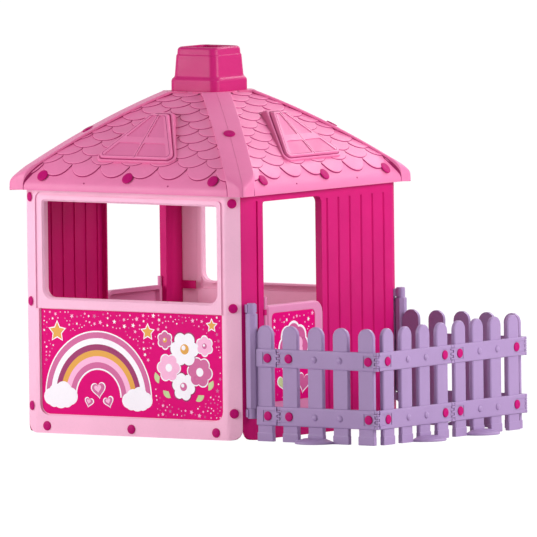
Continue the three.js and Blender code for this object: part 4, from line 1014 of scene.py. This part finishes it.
def wall_picture(matrix):
    """Rainbow between two clouds, hearts under it, a bunch of flowers, big stars and the night sky."""
    bm = bmesh.new()
    x, z = RAINBOW_AT
    flat(bm, bow(x, z, *RAINBOW_RIM), matrix, 1, WHITE)
    for i, ink in enumerate(RAINBOW_INKS):
        flat(bm, bow(x, z, RAINBOW_R + i * BAND, RAINBOW_R + (i + 1) * BAND), matrix, 2, ink)
    for dx, dz, size, _ in CLOUD_SPOTS:
        cloud(bm, matrix, x + dx, z + dz, size, 3)
    left, up, size = HEART_GLINT
    for dx, dz, r, turn in HEARTS:
        flat(bm, heart(x + dx, z + dz, r + RIM, turn), matrix, 3, WHITE)
        flat(bm, heart(x + dx, z + dz, r, turn), matrix, 4, ROSE)
        flat(bm, heart(x + dx - r * left, z + dz + r * up, r * size, turn), matrix, 5, BLUSH)
    left, up, size = FLOWER_GLINT
    for dx, dz, r, ink, middle_ink in BUNCH:
        level = 2 + abs(dx) * BUNCH_STEP
        fx = BUNCH_X + dx
        flower(bm, matrix, fx, dz, r + RIM, level, DEEP if ink == WHITE else WHITE, turn=dx * BUNCH_TURN)
        flower(bm, matrix, fx, dz, r, level + OVER_RIM, ink, turn=dx * BUNCH_TURN)
        flat(bm, circle(fx, dz, r * FLOWER_EYE), matrix, level + EYE_LAYER, middle_ink)
        flat(bm, circle(fx - r * left, dz + r * up, r * size), matrix, level + GLINT_LAYER, WHITE)
    for a in LEAVES:
        leaf_x = BUNCH_X + LEAF_REACH[0] * math.cos(math.radians(a))
        leaf_z = LEAF_REACH[1] * math.sin(math.radians(a))
        flat(bm, bow(leaf_x, leaf_z, *LEAF_R, a - 60, a + 60, 12), matrix, 1.5, LEAF)
    for sx, sz, r, _ in BIG_STARS:
        for more, waist, depth, ink in BIG_STAR_LAYERS:
            flat(bm, star(sx, sz, r + more, waist), matrix, depth, ink)
    taken = [(x, z, RAINBOW_CLEAR)] + [(x + dx, z, clear) for dx, _, _, clear in CLOUD_SPOTS]
    taken += [(BUNCH_X + dx, dz, clear) for dx, dz, clear in BUNCH_CLEAR]
    taken += [(sx, sz, clear) for sx, sz, _, clear in BIG_STARS]
    night_sky(bm, matrix, taken, **PANEL_SKY)
    return bm


# Picture on a half door: radius, depth, ink and turn of the nested flowers; hearts with the room kept clear
DOOR_FLOWER_Z = 30
DOOR_FLOWERS = ((94, 1, WHITE, 0.0), (85, 3.8, ROSE, 0.0), (56, 6.6, BLUSH, 0.39))
DOOR_EYE_R, DOOR_EYE_DEPTH, DOOR_FLOWER_CLEAR = 20, 9.6, 98
DOOR_HEART_RIM, DOOR_HEART_DEPTHS = 6, (2.5, 3.5)
DOOR_HEARTS = ((-66, -92, 32, 16, LEAF, 42), (58, -98, 38, -12, ROSE, 48))
DOOR_SKY = dict(half_x=122, half_z=148, count=60, seed=9)


def door_picture(matrix):
    """Big flower over two hearts, in the night sky."""
    bm = bmesh.new()
    for r, depth, ink, turn in DOOR_FLOWERS:
        flower(bm, matrix, 0, DOOR_FLOWER_Z, r, depth, ink, 8, turn)
    flat(bm, circle(0, DOOR_FLOWER_Z, DOOR_EYE_R), matrix, DOOR_EYE_DEPTH, GOLD)
    under, over = DOOR_HEART_DEPTHS
    for x, z, r, turn, ink, _ in DOOR_HEARTS:
        flat(bm, heart(x, z, r + DOOR_HEART_RIM, turn), matrix, under, WHITE)
        flat(bm, heart(x, z, r, turn), matrix, over, ink)
    taken = [(0, DOOR_FLOWER_Z, DOOR_FLOWER_CLEAR)] + [(x, z, clear) for x, z, _, _, _, clear in DOOR_HEARTS]
    night_sky(bm, matrix, taken, **DOOR_SKY)
    return bm


PANEL_AT, DOOR_PANEL_AT = (0, 8.9 - WALL, 257), (-199.5, -5.6 - WALL, 288)
for kind, at, picture, sides in (("print", PANEL_AT, wall_picture, ((0, "front"), (2, "back"))),
                                 ("door_print", DOOR_PANEL_AT, door_picture, ((1, "right"), (3, "left")))):
    for q, side in sides:
        node = f"{kind}_{side}"
        dressed(node, FILM, bevel=0.2, steps=1)
        bm = picture(to_frame(quarter(q) @ Matrix.Translation(at)))
        finish_mesh(node + "_ink", bm, AS_IS, PRINT_INKS, BODY_OF[node], ())

# Camera: the photograph is close to a parallel view, so a long lens looks from far away; in metres
VIEW_RIGHT, VIEW_UP, VIEW_ROLL = (0.8111, 0.5849, 0), (-0.0397, 0.0551, 0.9977), 0.01175
VIEW_CENTRE, VIEW_WIDTH = (-0.1441, 0.1307, 0.5666), 1.9247
LENS, SENSOR = 1400.0, 36.0
right, up = Vector(VIEW_RIGHT).normalized(), Vector(VIEW_UP).normalized()
across = (right - VIEW_ROLL * up).normalized()
back = across.cross((up + VIEW_ROLL * right).normalized()).normalized()
place = Matrix((across, back.cross(across), back)).transposed().to_4x4()
place.translation = Vector(VIEW_CENTRE) + back * (LENS * VIEW_WIDTH / SENSOR)
cam = bpy.data.cameras.new("camera")
cam.lens, cam.sensor_width, cam.sensor_fit = LENS, SENSOR, "HORIZONTAL"
cam.clip_start, cam.clip_end = 1.0, 400.0
eye = add_object("camera", cam)
eye.matrix_world = place
bpy.context.scene.camera = eye

# Floor: matt white that glows towards the camera, so that it fades into the background but keeps the shadow
FLOOR_HALF, FLOOR_GREY, FLOOR_ROUGH, GLOW, GLOW_SHARE = 60, 0.8, 0.9, 1.16, 0.82


def floor_white():
    material, tree, bsdf = new_material("floor_white")
    bsdf.inputs["Base Color"].default_value = grey(FLOOR_GREY)
    bsdf.inputs["Roughness"].default_value = FLOOR_ROUGH
    glow = new_node(tree, "Emission", Color=grey(1.0), Strength=GLOW)
    share = new_node(tree, "Math")
    share.operation = "MULTIPLY"
    share.inputs[1].default_value = GLOW_SHARE
    tree.links.new(new_node(tree, "LightPath").outputs["Is Camera Ray"], share.inputs[0])
    both = mixed(tree, share.outputs[0], bsdf.outputs["BSDF"], glow.outputs["Emission"])
    tree.links.new(both, tree.nodes["Material Output"].inputs["Surface"])
    return material


bm = bmesh.new()
bmesh.ops.create_grid(bm, x_segments=1, y_segments=1, size=FLOOR_HALF)
floor = object_of("floor", bm, [floor_white()])

# World: white where it is seen or mirrored, and a soft room light everywhere else
ROOM_COLOUR, ROOM_LIGHT = (0.98, 0.98, 1.0, 1.0), 0.42


def background(tree, colour, strength):
    return new_node(tree, "Background", Color=colour, Strength=strength).outputs["Background"]


world = bpy.data.worlds.new("studio")
bpy.context.scene.world = world
world.use_nodes = True
tree = world.node_tree
tree.nodes.clear()
path = new_node(tree, "LightPath")
seen = path.outputs["Is Camera Ray"]
for kind in ("Is Glossy Ray", "Is Transmission Ray"):
    either = new_node(tree, "Math")
    either.operation = "MAXIMUM"
    tree.links.new(seen, either.inputs[0])
    tree.links.new(path.outputs[kind], either.inputs[1])
    seen = either.outputs[0]
both = mixed(tree, seen, background(tree, ROOM_COLOUR, ROOM_LIGHT), background(tree, grey(1.0), 1.0))
tree.links.new(both, new_node(tree, "OutputWorld").inputs["Surface"])

# Lamps: name, place, size and power of each, and the point it is aimed at
YARD_AND_HOUSE = (-0.1, 0, 0.6)
LAMPS = (
    ("key", (4.8, 1.0, 2.6), 2.6, 215, YARD_AND_HOUSE),
    ("fill", (-3.2, -4.0, 1.7), 3.0, 150, YARD_AND_HOUSE),
    ("sheen", (0.3, 4.6, 4.0), 2.2, 80, YARD_AND_HOUSE),
    ("room", (-0.302, 0.0, 0.86), 0.5, 1.8, (-0.302, 0.0, 0.0)),
)
for name, at, size, power, target in LAMPS:
    light = bpy.data.lights.new(name, "AREA")
    light.energy, light.size = power, size
    turned = (Vector(target) - Vector(at)).to_track_quat("-Z", "Y").to_matrix().to_4x4()
    add_object(name, light).matrix_world = Matrix.Translation(at) @ turned

bpy.context.scene.view_settings.view_transform = "Standard"
